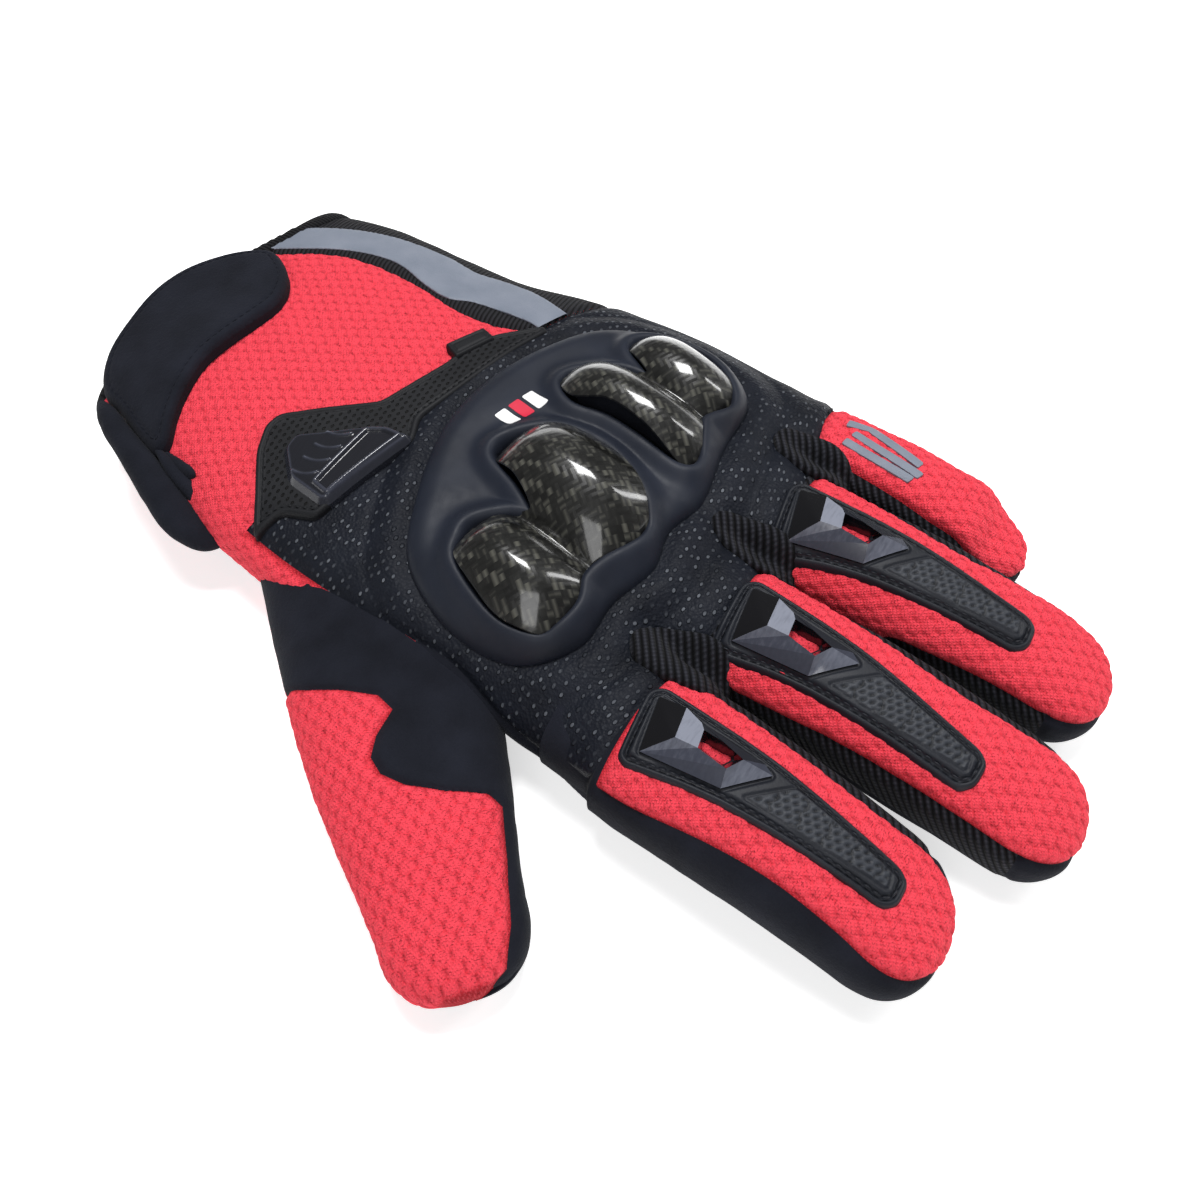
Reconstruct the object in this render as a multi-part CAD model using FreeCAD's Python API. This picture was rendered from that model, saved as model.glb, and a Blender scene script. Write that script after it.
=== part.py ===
import FreeCAD, Part
import math
import os

# Left riding glove, lying palm down.  Units are millimetres.
# +X points to the thumb side, +Y to the fingertips and +Z up, off the back of the hand.
# The origin is on the flat palm face that the glove rests on, under the middle of the palm.

V = FreeCAD.Vector

# ---- driving dimensions -------------------------------------------------------------
SKIN = 2.0              # wall of leather, mesh and lining together
RUN_GAP = 0.35          # clearance between pieces on different bodies
CUFF_END_Y = -118.0     # mouth of the cuff
BINDING_WIDTH = 4.0     # tape that binds the mouth
PANEL_SPLIT_Z = 14.0    # seam height round the edge of the hand
KNUCKLE_Y = 46.0        # line where the fingers start to bend
BEND_AXIS_Z = 14.0      # height of the finger bending axes
KNUCKLE_HALF_ANGLE = 26.0   # wedge left free below each knuckle axis, on each side
FINGER_HALF_ANGLE = 33.5    # the same below each middle finger joint
FINGER_SIDE_BAND = 4.0      # half height of the side strip of each finger
GRIP_PATCH = 1.2        # palm reinforcement, which is the face the glove lies on
OVAL_POWER = 2.5        # 2 is an ellipse, more is squarer
OVAL_POINTS = 16

# Hand and cuff: y, centre x, centre z, half width, half height
HAND = [
    (-130, -7.0, 13.5, 38.0, 11.5),
    (-112, -6.8, 14.0, 45.0, 12.5),
    (-95, -6.0, 14.5, 48.5, 14.0),
    (-75, -3.8, 14.4, 51.2, 14.8),
    (-50, -1.5, 14.5, 53.5, 15.1),
    (-25, -3.2, 15.0, 56.3, 15.6),
    (0, -4.2, 15.0, 57.3, 15.6),
    (22, -2.2, 14.4, 57.8, 15.0),
    (52, -0.6, 13.4, 58.0, 14.0),
]

# Thumb, along its own axis: distance, height, half width, half height
THUMB_ORIGIN = (40.56, -32.24)
THUMB_ANGLE = 38.5      # from +Y towards +X
THUMB = [
    (-18, 11.0, 21.0, 9.5),
    (0, 11.5, 21.5, 10.0),
    (20, 11.5, 21.5, 10.2),
    (40, 11.0, 20.6, 10.2),
    (62, 10.5, 18.0, 9.8),
    (78, 9.8, 15.6, 9.0),
    (86, 9.2, 12.0, 7.6),
    (91, 9.0, 8.0, 5.6),
    (94, 9.0, 3.0, 3.0),
]
THUMB_SWING_AT = 38.0   # swing axis, distance along the thumb
THUMB_SWING_R = 20.4    # rounded end of the fixed thumb base
THUMB_SWING_IN = 10.5   # free angle towards the palm
THUMB_TIP_AT = 66.0     # bending axis of the thumb tip
THUMB_AXIS_Z = 8.0

# Fingers: base x, tip x, tip y, base half width, tip half width, middle joint y
FINGERS = {
    "index": (42.2, 45.4, 109.0, 16.0, 14.0, 74.0),
    "middle": (9.3, 13.2, 123.0, 14.6, 13.4, 80.0),
    "ring": (-20.8, -18.5, 117.0, 14.6, 13.0, 76.0),
    "little": (-47.6, -46.0, 90.0, 11.6, 10.8, 67.0),
}
BASE_HALF_HEIGHT = {"index": 13.0, "middle": 13.4, "ring": 13.0, "little": 11.0}

# Finger guard outline: distance from the knuckle line, offset towards the thumb
GUARD_OUTLINE = [(0, -9.5), (17, -9.0), (36, -6.9), (54, -4.6), (57, -3.0), (57, 2.8),
                 (54, 4.8), (30, 5.6), (13, 6.8), (2, 8.8), (0, 7.6)]
GUARD_INSERT = [(2.5, -6.6), (8, -7.0), (11, -5.6), (26, -4.4), (20, 3.6), (5, 6.0)]
GUARD_WINDOW = [(12.2, -3.6), (19.0, -2.8), (17.0, -0.9), (12.8, -1.2)]
GUARDS = {"index": (43.4, 40.0, 2.0), "middle": (12.0, 43.0, 4.0), "ring": (-16.6, 40.5, -1.0)}
GUARD_PLATE = 2.6       # plate thickness over the finger back
GUARD_INSERT_TOP = 5.6  # top of the glossy insert
GUARD_TAIL = 2.2        # tail thickness

# Outlines seen from above, on the back of the hand
FRAME_OUTLINE = [(37, -20), (44, -8), (46, 5), (43, 15), (34, 22), (14, 25), (-8, 25),
                 (-26, 22), (-39, 20), (-46, 9), (-47, -4), (-43, -17), (-32, -26),
                 (-14, -32), (9, -32), (24, -27)]
WINDOWS = {
    "carbon_shell_index_middle": [(9, -16), (3, -16), (-3, -9), (-4, 3), (2, 15), (10, 20),
                                  (20, 16), (31, 17), (38, 14), (40, 6), (37, -3), (32, -9),
                                  (25, -9), (18, 0)],
    "carbon_shell_ring_little": [(-16, -15), (-21, -13), (-28, 1), (-35, -8), (-40, -6),
                                 (-43, 4), (-40, 12), (-33, 18), (-25, 16), (-14, 20),
                                 (-11, 17), (-13, 2), (-13, -11)],
}
DOMES = {
    "carbon_shell_index_middle": [(7, 2, 15, 21, 15.5), (30, 4, 13, 16, 13.5)],
    "carbon_shell_ring_little": [(-20, 2, 13, 20, 14.5), (-36, 5, 11, 15, 12.0)],
}
DOME_FOOT_Z = 30.0
DOME_WALL = 2.2
FRAME_TOP = 5.0         # above the back of the hand
RIM_TOP = 7.2
RIM_WIDTH = 3.0
WRIST_GUARD = [(46, -56), (35, -64), (25, -69), (19, -68), (4, -51), (-11, -46), (-25, -40),
               (-34, -32), (-20, -34.5), (-2, -40), (33, -44), (40, -51)]
WRIST_BADGE = [(33, -55), (27, -62), (23, -62), (11, -48), (10, -40), (33, -45)]
WRIST_BLOCK = [(-17, -49), (-26, -46), (-24, -42), (-15, -45.5)]
REFLECTIVE_BAND = [(-34, -110), (-43, -92), (-46, -73), (-44, -60), (-45, -47), (-42, -35),
                   (-35, -35), (-36, -54), (-35, -68), (-38, -80), (-34, -96), (-28, -109)]
STRAP_OUTLINE = [(-18, -108), (-14, -99), (-6, -93), (8, -94), (24, -90), (42, -79),
                 (35, -110), (27, -113.5), (13, -120), (-2, -119), (-14, -113)]
STRAP_HINGE = ((29.0, -112.0), (37.5, -80.0))
CUFF_FOLD = [(33, -112), (39, -101), (43.5, -88), (45, -76), (45, -66), (54, -62), (56, -76),
             (52, -92), (42, -108)]
TONGUES = [
    [(31, 26), (27, 25), (22, 28), (22, 37), (32, 37)],
    [(-4, 27), (-9, 27), (-11, 32), (-9, 37), (-3, 37)],
    [(-35, 27), (-39, 29), (-40, 33), (-38, 37), (-31, 37)],
]
EMBLEM = [(-1, -24), (-12, -21), (-10, -15), (1, -18)]
LITTLE_PRINT = [(-52, 43), (-51, 57), (-43, 57), (-42, 43)]

LAYER_TOPS = {"band": 0.8, "loop": 1.2, "hook_from": 1.55, "hook": 2.5, "strap": 4.6,
              "anchor": 4.0, "fold": 4.6, "plate": 2.6, "badge": 4.6, "block": 5.0,
              "tongue": 0.9, "emblem": 5.9}
ABOVE = 60.0            # any height clear above the glove
BELOW = -20.0           # any height clear below it


# ---- shape helpers ------------------------------------------------------------------
def oval(y, xc, zc, half_w, half_h):
    """Closed smooth oval in the plane y, squarer than an ellipse."""
    points = []
    for i in range(OVAL_POINTS):
        a = 2.0 * math.pi * (i + 0.5) / OVAL_POINTS
        c = math.cos(a)
        s = math.sin(a)
        x = half_w * math.copysign(abs(c) ** (2.0 / OVAL_POWER), c)
        z = half_h * math.copysign(abs(s) ** (2.0 / OVAL_POWER), s)
        points.append(V(xc + x, y, zc + z))
    curve = Part.BSplineCurve()
    curve.interpolate(Points=points, PeriodicFlag=True)
    return Part.Wire([curve.toShape()])


def loft(stations, grow, straight=False):
    """Solid through ovals at (y, xc, zc, half_w, half_h), each grown by the same amount."""
    wires = [oval(y, xc, zc, w + grow, h + grow) for y, xc, zc, w, h in stations]
    return Part.makeLoft(wires, True, straight)


def prism(points, low=BELOW, high=ABOVE):
    """Straight-sided column over a polygon seen from above."""
    corners = [V(x, y, low) for x, y in points]
    face = Part.Face(Part.makePolygon(corners + corners[:1]))
    return face.extrude(V(0, 0, high - low))


def round_prism(points, low=BELOW, high=ABOVE):
    """Straight-sided column over a smooth closed outline through the points."""
    curve = Part.BSplineCurve()
    curve.interpolate(Points=[V(x, y, low) for x, y in points], PeriodicFlag=True)
    return Part.Face(Part.Wire([curve.toShape()])).extrude(V(0, 0, high - low))


def widened(points, width):
    """The outline with each point moved away from the middle by the width."""
    cx = sum(x for x, y in points) / len(points)
    cy = sum(y for x, y in points) / len(points)
    moved = []
    for x, y in points:
        reach = math.hypot(x - cx, y - cy)
        moved.append((x + width * (x - cx) / reach, y + width * (y - cy) / reach))
    return moved


def block(x0, x1, y0, y1, z0, z1):
    return Part.makeBox(x1 - x0, y1 - y0, z1 - z0, V(x0, y0, z0))


def bend_wedge(x0, x1, y, z, half_angle, gap):
    """Free space at a bending axis: a thin slot above it and a wedge below it."""
    reach = 40.0
    spread = reach * math.tan(math.radians(half_angle))
    outline = [V(x0, y - gap, z + reach), V(x0, y + gap, z + reach), V(x0, y + gap, z),
               V(x0, y + gap + spread, z - reach), V(x0, y - gap - spread, z - reach),
               V(x0, y - gap, z)]
    return Part.Face(Part.makePolygon(outline + outline[:1])).extrude(V(x1 - x0, 0, 0))


def biggest(shape):
    """The largest solid of a boolean result; slivers along a seam are dropped."""
    return max(shape.Solids, key=lambda solid: solid.Volume)


class Body:
    """A lofted limb that hands out layers of itself: skin is -SKIN..0, trim is above 0."""

    def __init__(self, stations, straight=False):
        self.stations = stations
        self.straight = straight
        self.made = {}

    def solid(self, grow):
        if grow not in self.made:
            self.made[grow] = loft(self.stations, grow, self.straight)
        return self.made[grow]

    def layer(self, inner, outer):
        return self.solid(outer).cut(self.solid(inner))

    def trim(self, outline, inner, outer, low, smooth=True):
        """A patch of this layer over an outline seen from above, on the upper side only."""
        column = round_prism(outline, low) if smooth else prism(outline, low)
        return self.layer(inner, outer).common(column)


# ---- hand ---------------------------------------------------------------------------
def hand_panels(hand, thumb_outer):
    """The skin of the hand: palm, back, wrist mesh and elastic gusset."""
    y0 = CUFF_END_Y + BINDING_WIDTH
    hollow = hand.solid(-SKIN).common(block(-90, 90, -200, 90, GRIP_PATCH + SKIN, ABOVE))
    skin = hand.solid(0.0).cut(hollow)
    skin = skin.common(block(-90, 90, y0, KNUCKLE_Y, GRIP_PATCH, ABOVE))
    skin = skin.cut(thumb_outer)
    skin = skin.cut(bend_wedge(-90, 90, KNUCKLE_Y, BEND_AXIS_Z, KNUCKLE_HALF_ANGLE, 0.0))
    lower = skin.common(block(-90, 90, y0, KNUCKLE_Y, BELOW, PANEL_SPLIT_Z))
    upper = skin.common(block(-90, 90, y0, KNUCKLE_Y, PANEL_SPLIT_Z, ABOVE))
    behind_knuckles = prism([(-90, -33), (-34, -33), (48, -50), (90, -50), (90, -140), (-90, -140)])
    wrist = upper.common(behind_knuckles)
    return {
        "palm_panel": biggest(lower),
        "back_panel": biggest(upper.cut(behind_knuckles)),
        "wrist_mesh_panel": biggest(wrist.common(block(-34, 90, -140, 0, 0, ABOVE))),
        "outer_wrist_gusset": biggest(wrist.common(block(-90, -34, -140, 0, 0, ABOVE))),
    }


def cuff(hand):
    """Binding tape round the mouth, strap hardware and the folded tab at the thumb side."""
    tape = hand.layer(-SKIN - 0.8, 0.8)
    tape = tape.common(block(-90, 90, CUFF_END_Y, CUFF_END_Y + BINDING_WIDTH, GRIP_PATCH, ABOVE))
    fold = hand.trim(CUFF_FOLD, 0.0, LAYER_TOPS["fold"], 7.0)
    inboard, outboard = strap_sides()
    anchor_zone = [STRAP_HINGE[0], STRAP_HINGE[1], (60, -72), (62, -112)]
    anchor = hand.layer(0.0, LAYER_TOPS["anchor"]).common(prism(anchor_zone, 12.0))
    anchor = anchor.common(outboard).cut(biggest(fold))
    loop = hand.trim([(-12, -108), (-4, -98), (22, -95), (26, -108), (12, -112.5), (-2, -112)],
                     0.0, LAYER_TOPS["loop"], 18.0)
    return {"cuff_binding": biggest(tape), "cuff_fold": biggest(fold),
            "strap_anchor": biggest(anchor), "strap_loop_patch": biggest(loop)}


def strap_sides():
    """Half spaces each side of the strap's hinge line, with the running gap between them."""
    (x0, y0), (x1, y1) = STRAP_HINGE
    run = V(x1 - x0, y1 - y0, 0).normalize()
    side = V(run.y, -run.x, 0)
    a = V(x0, y0, 0) - run * 60
    b = V(x1, y1, 0) + run * 60

    def half(shift, reach):
        near = side * shift
        far = side * reach
        return prism([(p.x, p.y) for p in (a + near, b + near, b + far, a + far)])

    return half(-RUN_GAP, -120.0), half(RUN_GAP, 120.0)


def strap(hand):
    inboard, outboard = strap_sides()
    band = hand.trim(STRAP_OUTLINE, LAYER_TOPS["hook"], LAYER_TOPS["strap"], 12.0)
    hook = hand.trim([(-10, -107), (-3, -99), (20, -96), (24, -107), (11, -113), (-2, -112)],
                     LAYER_TOPS["hook_from"], LAYER_TOPS["hook"], 18.0)
    return {"closure_strap": biggest(band.common(inboard)),
            "strap_hook_patch": biggest(hook)}


def dome(cx, cy, rx, ry, height, wall):
    """Upper part of an ellipsoid standing on the knuckles, shrunk by wall."""
    matrix = FreeCAD.Matrix()
    matrix.scale(rx - wall, ry - wall, height - wall)
    ball = Part.makeSphere(1.0).transformGeometry(matrix)
    ball.translate(V(cx, cy, DOME_FOOT_Z))
    return ball


def knuckle_guard(hand):
    """Moulded frame with two windows, a carbon shell in each and foam under the shells."""
    plate = hand.trim(FRAME_OUTLINE, 0.0, FRAME_TOP, 20.0)
    pieces = {}
    foam = []
    for outline in WINDOWS.values():
        plate = plate.fuse(hand.trim(widened(outline, RIM_WIDTH), 0.0, RIM_TOP, 20.0))
    for name, outline in WINDOWS.items():
        window = round_prism(outline, 20.0)
        plate = plate.cut(window)
        outer = dome(*DOMES[name][0], 0.0).fuse(dome(*DOMES[name][1], 0.0))
        inner = dome(*DOMES[name][0], DOME_WALL).fuse(dome(*DOMES[name][1], DOME_WALL))
        room = window.common(block(-60, 60, -60, 60, DOME_FOOT_Z, ABOVE))
        pieces[name] = biggest(outer.cut(inner).common(room).cut(hand.solid(0.0)))
        foam.append(biggest(inner.common(room).cut(hand.solid(0.0))))
    pieces["knuckle_guard_frame"] = biggest(plate)
    pieces["knuckle_foam_pads"] = Part.makeCompound(foam)
    emblem = hand.trim(EMBLEM, FRAME_TOP + 0.05, LAYER_TOPS["emblem"], 20.0, smooth=False)
    pieces["knuckle_emblem"] = biggest(emblem.cut(plate))
    return pieces


def wrist_trim(hand):
    plate = hand.trim(WRIST_GUARD, 0.0, LAYER_TOPS["plate"], 20.0, smooth=False)
    stop = hand.trim(WRIST_BLOCK, 0.0, LAYER_TOPS["block"], 20.0, smooth=False)
    return {
        "wrist_guard_plate": biggest(plate.fuse(stop)),
        "wrist_guard_badge": biggest(hand.trim(WRIST_BADGE, LAYER_TOPS["plate"],
                                               LAYER_TOPS["badge"], 20.0, smooth=False)),
        "reflective_band": biggest(hand.trim(REFLECTIVE_BAND, 0.0, LAYER_TOPS["band"], 15.0)),
        "fourchette_tongues": Part.makeCompound(
            [biggest(hand.trim(t, 0.0, LAYER_TOPS["tongue"], 20.0)) for t in TONGUES]),
        "palm_grip_patch": palm_patch(hand),
    }


def palm_patch(hand):
    """Leather reinforcement under the palm; its lower face is the rest face."""
    zone = [(-44, 28), (34, 28), (36, -20), (20, -60), (-30, -66), (-46, -30)]
    patch = hand.solid(0.0).common(prism(zone, 0.0, GRIP_PATCH))
    return biggest(patch)


# ---- fingers ------------------------------------------------------------------------
def finger_stations(name):
    x0, x1, tip_y, w0, w1, joint_y = FINGERS[name]
    h0 = BASE_HALF_HEIGHT[name]
    length = tip_y - KNUCKLE_Y
    rise = joint_y - KNUCKLE_Y
    shape = [  # y, width share, centre z, half height
        (KNUCKLE_Y, 1.0, 14.0, h0),
        (KNUCKLE_Y + 0.5 * rise, 0.98, 14.5, h0 - 0.4),
        (joint_y, 0.99, 14.3, h0 - 1.0),
        (tip_y - 0.28 * length, 0.97, 12.0, h0 - 2.2),
        (tip_y - 11.0, 0.95, 10.4, h0 - 3.2),
        (tip_y - 5.0, 0.80, 9.7, h0 - 4.6),
        (tip_y - 1.6, 0.52, 9.2, h0 - 7.4),
        (tip_y, 0.20, 9.0, 2.6),
    ]
    stations = []
    for y, share, zc, h in shape:
        t = (y - KNUCKLE_Y) / length
        half = (w0 + (w1 - w0) * t) * share
        stations.append((y, x0 + (x1 - x0) * t, zc, half, h))
    return stations


def finger(name):
    """Skin of one finger: back, front and two side strips, on each side of the joint."""
    stations = finger_stations(name)
    tube = Body(stations, straight=True)
    tip_y = FINGERS[name][2]
    joint_y = FINGERS[name][5]
    hollow = loft(inner_stations(stations), -SKIN, straight=True)
    skin = tube.solid(0.0).cut(hollow)
    x0 = min(s[1] - s[3] for s in stations) - 2
    x1 = max(s[1] + s[3] for s in stations) + 2
    skin = skin.cut(bend_wedge(x0, x1, KNUCKLE_Y, BEND_AXIS_Z, KNUCKLE_HALF_ANGLE, RUN_GAP))
    skin = skin.cut(bend_wedge(x0, x1, joint_y, BEND_AXIS_Z, FINGER_HALF_ANGLE, RUN_GAP / 2))
    pieces = {}
    for part, ya, yb in (("proximal", KNUCKLE_Y, joint_y), ("distal", joint_y, tip_y + 5)):
        zc = 14.0 if part == "proximal" else 12.0
        low = zc - FINGER_SIDE_BAND
        high = zc + FINGER_SIDE_BAND
        length = skin.common(block(x0, x1, ya, yb, BELOW, ABOVE))
        back = length.common(block(x0, x1, ya, yb, high, ABOVE))
        front = length.common(block(x0, x1, ya, yb, BELOW, low))
        sides = length.common(block(x0, x1, ya, yb, low, high))
        pieces[name + "_back_" + part] = biggest(back)
        pieces[name + "_front_" + part] = biggest(front)
        walls = sorted(sides.Solids, key=lambda solid: -solid.Volume)[:2]
        pieces[name + "_sides_" + part] = Part.makeCompound(walls)
    return tube, pieces


def inner_stations(stations):
    """Stations of the hollow: it starts before the base and stops SKIN short of the tip."""
    first = stations[0]
    start = (first[0] - 1.0,) + first[1:]
    return [start] + [(s[0] - SKIN,) + s[1:] for s in stations[1:-1]]


def guard_outline(name, points):
    x, y, angle = GUARDS[name]
    a = math.radians(angle)
    placed = []
    for u, v in points:
        placed.append((x + u * math.sin(a) + v * math.cos(a), y + u * math.cos(a) - v * math.sin(a)))
    return placed


def finger_guard(name, tube):
    """Guard over one finger: plate with a glossy insert, and a flexible tail past the joint."""
    joint_y = FINGERS[name][5]
    outline = guard_outline(name, GUARD_OUTLINE)
    plate = tube.trim(outline, 0.0, GUARD_PLATE, 16.0, smooth=False)
    tail = tube.trim(outline, 0.0, GUARD_TAIL, 12.0, smooth=False)
    insert = tube.trim(guard_outline(name, GUARD_INSERT), GUARD_PLATE, GUARD_INSERT_TOP, 16.0,
                       smooth=False)
    window = prism(guard_outline(name, GUARD_WINDOW))
    before = block(-90, 90, KNUCKLE_Y + RUN_GAP, joint_y - RUN_GAP / 2, BELOW, ABOVE)
    after = block(-90, 90, joint_y + RUN_GAP / 2, 140, BELOW, ABOVE)
    return {
        name + "_guard_plate": biggest(plate.common(before).cut(window)),
        name + "_guard_insert": biggest(insert.cut(window)),
        name + "_guard_tail": biggest(tail.common(after)),
    }


# ---- thumb --------------------------------------------------------------------------
def to_glove(shape):
    """From the thumb's own frame, along +Y from the origin, to its place on the glove."""
    placed = shape.copy()
    placed.rotate(V(0, 0, 0), V(0, 0, 1), -THUMB_ANGLE)
    placed.translate(V(THUMB_ORIGIN[0], THUMB_ORIGIN[1], 0))
    return placed


def thumb(hand):
    """The pieces of the thumb, and the room that the hand has to leave for it."""
    stations = [(s, 0.0, z, w, h) for s, z, w, h in THUMB]
    tube = Body(stations, straight=True)
    skin = tube.solid(0.0).cut(loft(inner_stations(stations), -SKIN, straight=True))
    swing = THUMB_SWING_AT
    core = Part.makeCylinder(THUMB_SWING_R, 60, V(0, swing, -20))
    core = core.fuse(block(-30, 30, -60, swing, -20, 40))
    clear = Part.makeCylinder(THUMB_SWING_R + RUN_GAP, 60, V(0, swing, -20))
    clear = clear.fuse(block(-30, 30, -60, swing + 4.5, -20, 40))
    base = to_glove(skin.common(core)).cut(hand.solid(0.0))
    moving = skin.cut(clear)
    moving = moving.cut(bend_wedge(-30, 30, THUMB_TIP_AT, THUMB_AXIS_Z, 31.0, RUN_GAP / 2))
    pieces = {}
    parts = {
        "base": base.common(block(-20, 140, -90, 90, GRIP_PATCH, ABOVE)),
        "proximal": to_glove(moving.common(block(-30, 30, swing, THUMB_TIP_AT, -20, 40))),
        "tip": to_glove(moving.common(block(-30, 30, THUMB_TIP_AT, 110, -20, 40))),
    }
    for part, shape in parts.items():
        seam = 11.0 if part != "tip" else 9.5
        pieces["thumb_back_" + part] = biggest(shape.common(block(-20, 140, -90, 90, seam, 60)))
        pieces["thumb_front_" + part] = biggest(shape.common(block(-20, 140, -90, 90, -20, seam)))
    return pieces, to_glove(swing_room(tube))


def swing_room(tube):
    """Everything the thumb passes through as it swings towards the palm."""
    room = tube.solid(0.0)
    moving = room.common(block(-30, 30, THUMB_SWING_AT, 110, -20, 40))
    for step in (1, 2, 3):
        turned = moving.copy()
        turned.rotate(V(0, THUMB_SWING_AT, 0), V(0, 0, 1), step * THUMB_SWING_IN / 3.0)
        room = room.fuse(turned)
    return room


# ---- whole glove --------------------------------------------------------------------
def glove():
    hand = Body(HAND)
    thumb_pieces, thumb_outer = thumb(hand)
    nodes = hand_panels(hand, thumb_outer)
    nodes.update(cuff(hand))
    nodes.update(strap(hand))
    nodes.update(knuckle_guard(hand))
    nodes.update(wrist_trim(hand))
    nodes.update(thumb_pieces)
    for name in FINGERS:
        tube, pieces = finger(name)
        nodes.update(pieces)
        if name in GUARDS:
            nodes.update(finger_guard(name, tube))
        if name == "little":
            nodes["little_reflective_print"] = biggest(tube.trim(LITTLE_PRINT, 0.0, 0.5, 16.0))
    return nodes


def main():
    os.makedirs("parts", exist_ok=True)
    for name, shape in glove().items():
        box = shape.BoundBox
        print("%-30s solids %d valid %s volume %8.0f  x %6.1f %6.1f  y %6.1f %6.1f  z %5.1f %5.1f"
              % (name, len(shape.Solids), shape.isValid(), shape.Volume,
                 box.XMin, box.XMax, box.YMin, box.YMax, box.ZMin, box.ZMax))
        shape.exportStep(os.path.join("parts", name + ".step"))


main()
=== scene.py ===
import math

import bpy
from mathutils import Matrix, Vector
import numpy as np


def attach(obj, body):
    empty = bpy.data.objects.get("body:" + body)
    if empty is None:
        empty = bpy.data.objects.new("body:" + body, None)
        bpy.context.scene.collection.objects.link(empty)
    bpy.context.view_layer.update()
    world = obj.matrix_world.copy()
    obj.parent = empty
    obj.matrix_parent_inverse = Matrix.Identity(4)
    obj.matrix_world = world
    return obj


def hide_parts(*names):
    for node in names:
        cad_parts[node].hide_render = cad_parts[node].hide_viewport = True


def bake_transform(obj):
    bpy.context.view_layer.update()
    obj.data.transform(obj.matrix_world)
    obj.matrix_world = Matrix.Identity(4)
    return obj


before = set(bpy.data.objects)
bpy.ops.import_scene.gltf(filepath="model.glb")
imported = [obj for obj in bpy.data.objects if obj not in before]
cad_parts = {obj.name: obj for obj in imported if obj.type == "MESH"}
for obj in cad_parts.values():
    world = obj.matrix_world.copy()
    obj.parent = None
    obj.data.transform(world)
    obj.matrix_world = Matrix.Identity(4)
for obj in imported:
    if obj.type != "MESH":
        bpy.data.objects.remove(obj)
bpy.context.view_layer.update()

# Shapes are worked out in millimetres in the frame of the CAD model and turned into metres
# when an object is made.  +X is the thumb side, +Y the fingertips, +Z off the hand's back.
MM = 0.001

# ---- sections of the hand, the fingers and the thumb ----------------------------------
# y, centre x, centre z, half width, half height
HAND = [(-130, -7.0, 13.5, 38.0, 11.5), (-112, -6.8, 14.0, 45.0, 12.5),
        (-95, -6.0, 14.5, 48.5, 14.0), (-75, -3.8, 14.4, 51.2, 14.8),
        (-50, -1.5, 14.5, 53.5, 15.1), (-25, -3.2, 15.0, 56.3, 15.6),
        (0, -4.2, 15.0, 56.2, 15.6), (22, -2.4, 14.4, 56.6, 15.0),
        (52, -0.6, 13.4, 57.6, 14.0)]
OVAL_POWER = 2.5
CUFF_START = -119.0     # the first row of the hand; cuff_line trims it
HAND_END = 48.0
PALM_Z = 0.15           # the palm is pressed flat on what the glove lies on

# base x, tip x, tip y, base half width, tip half width, base half height, knuckle joint y
FINGERS = {
    "index": (41.8, 47.2, 109.0, 17.0, 15.3, 13.0, 74.0),
    "middle": (9.3, 13.2, 123.0, 14.6, 13.8, 13.4, 80.0),
    "ring": (-20.8, -18.5, 117.5, 14.5, 13.4, 13.0, 76.0),
    "little": (-46.2, -43.6, 90.6, 10.6, 10.1, 10.4, 67.0),
}
FINGER_ROOT = 24.0      # the sleeves start inside the hand
ROOTS_FROM = 22.0       # the hand turns into the four finger roots from here
ROOTS_OVER = 20.0       # over this length
KNUCKLE_Y = 46.0
TIP_ROUND = 15.0

# along the thumb from its origin: distance, centre, centre z, half width, half height
THUMB = [(-24, 0.0, 11.0, 21.0, 9.5), (0, 0.0, 11.5, 21.5, 10.0), (20, 0.0, 11.5, 21.5, 10.2),
         (40, 0.3, 11.0, 20.3, 10.2), (62, 1.1, 10.5, 17.0, 9.8), (78, 1.2, 9.8, 14.4, 9.0)]
THUMB_START = -22.0     # the sleeve starts inside the hand
THUMB_STEADY = 84.0     # from here only the rounding of the tip narrows it
THUMB_TIP = 93.0
THUMB_ORIGIN = np.array([40.56, -32.24])
THUMB_ANGLE = math.radians(38.5)
THUMB_ALONG = np.array([math.sin(THUMB_ANGLE), math.cos(THUMB_ANGLE)])
THUMB_ACROSS = np.array([math.cos(THUMB_ANGLE), -math.sin(THUMB_ANGLE)])


# ---- small maths ----------------------------------------------------------------------
def ease(t):
    t = np.clip(t, 0.0, 1.0)
    return t * t * (3.0 - 2.0 * t)


def bump(x, middle, width):
    return np.exp(-((x - middle) / width) ** 2)


def smooth_curve(x, xs, ys):
    """Smooth curve through the points (xs, ys), straight beyond its ends."""
    xs = np.asarray(xs, float)
    ys = np.asarray(ys, float)
    x = np.asarray(x, float)
    slope = np.gradient(ys, xs)
    i = np.clip(np.searchsorted(xs, x) - 1, 0, len(xs) - 2)
    h = xs[i + 1] - xs[i]
    t = np.clip((x - xs[i]) / h, 0.0, 1.0)
    a = (2 * t ** 3 - 3 * t ** 2 + 1) * ys[i] + (t ** 3 - 2 * t ** 2 + t) * h * slope[i]
    b = (-2 * t ** 3 + 3 * t ** 2) * ys[i + 1] + (t ** 3 - t ** 2) * h * slope[i + 1]
    return a + b


def smooth_max(a, b, k):
    h = np.clip(0.5 + 0.5 * (a - b) / k, 0.0, 1.0)
    return b * (1 - h) + a * h + k * h * (1 - h)


def unit(vectors):
    return vectors / np.maximum(np.linalg.norm(vectors, axis=-1, keepdims=True), 1e-12)


def arc_length(path):
    """Distance travelled along a path at each of its points."""
    return np.concatenate([[0], np.cumsum(np.linalg.norm(np.diff(path, axis=0), axis=1))])


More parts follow.
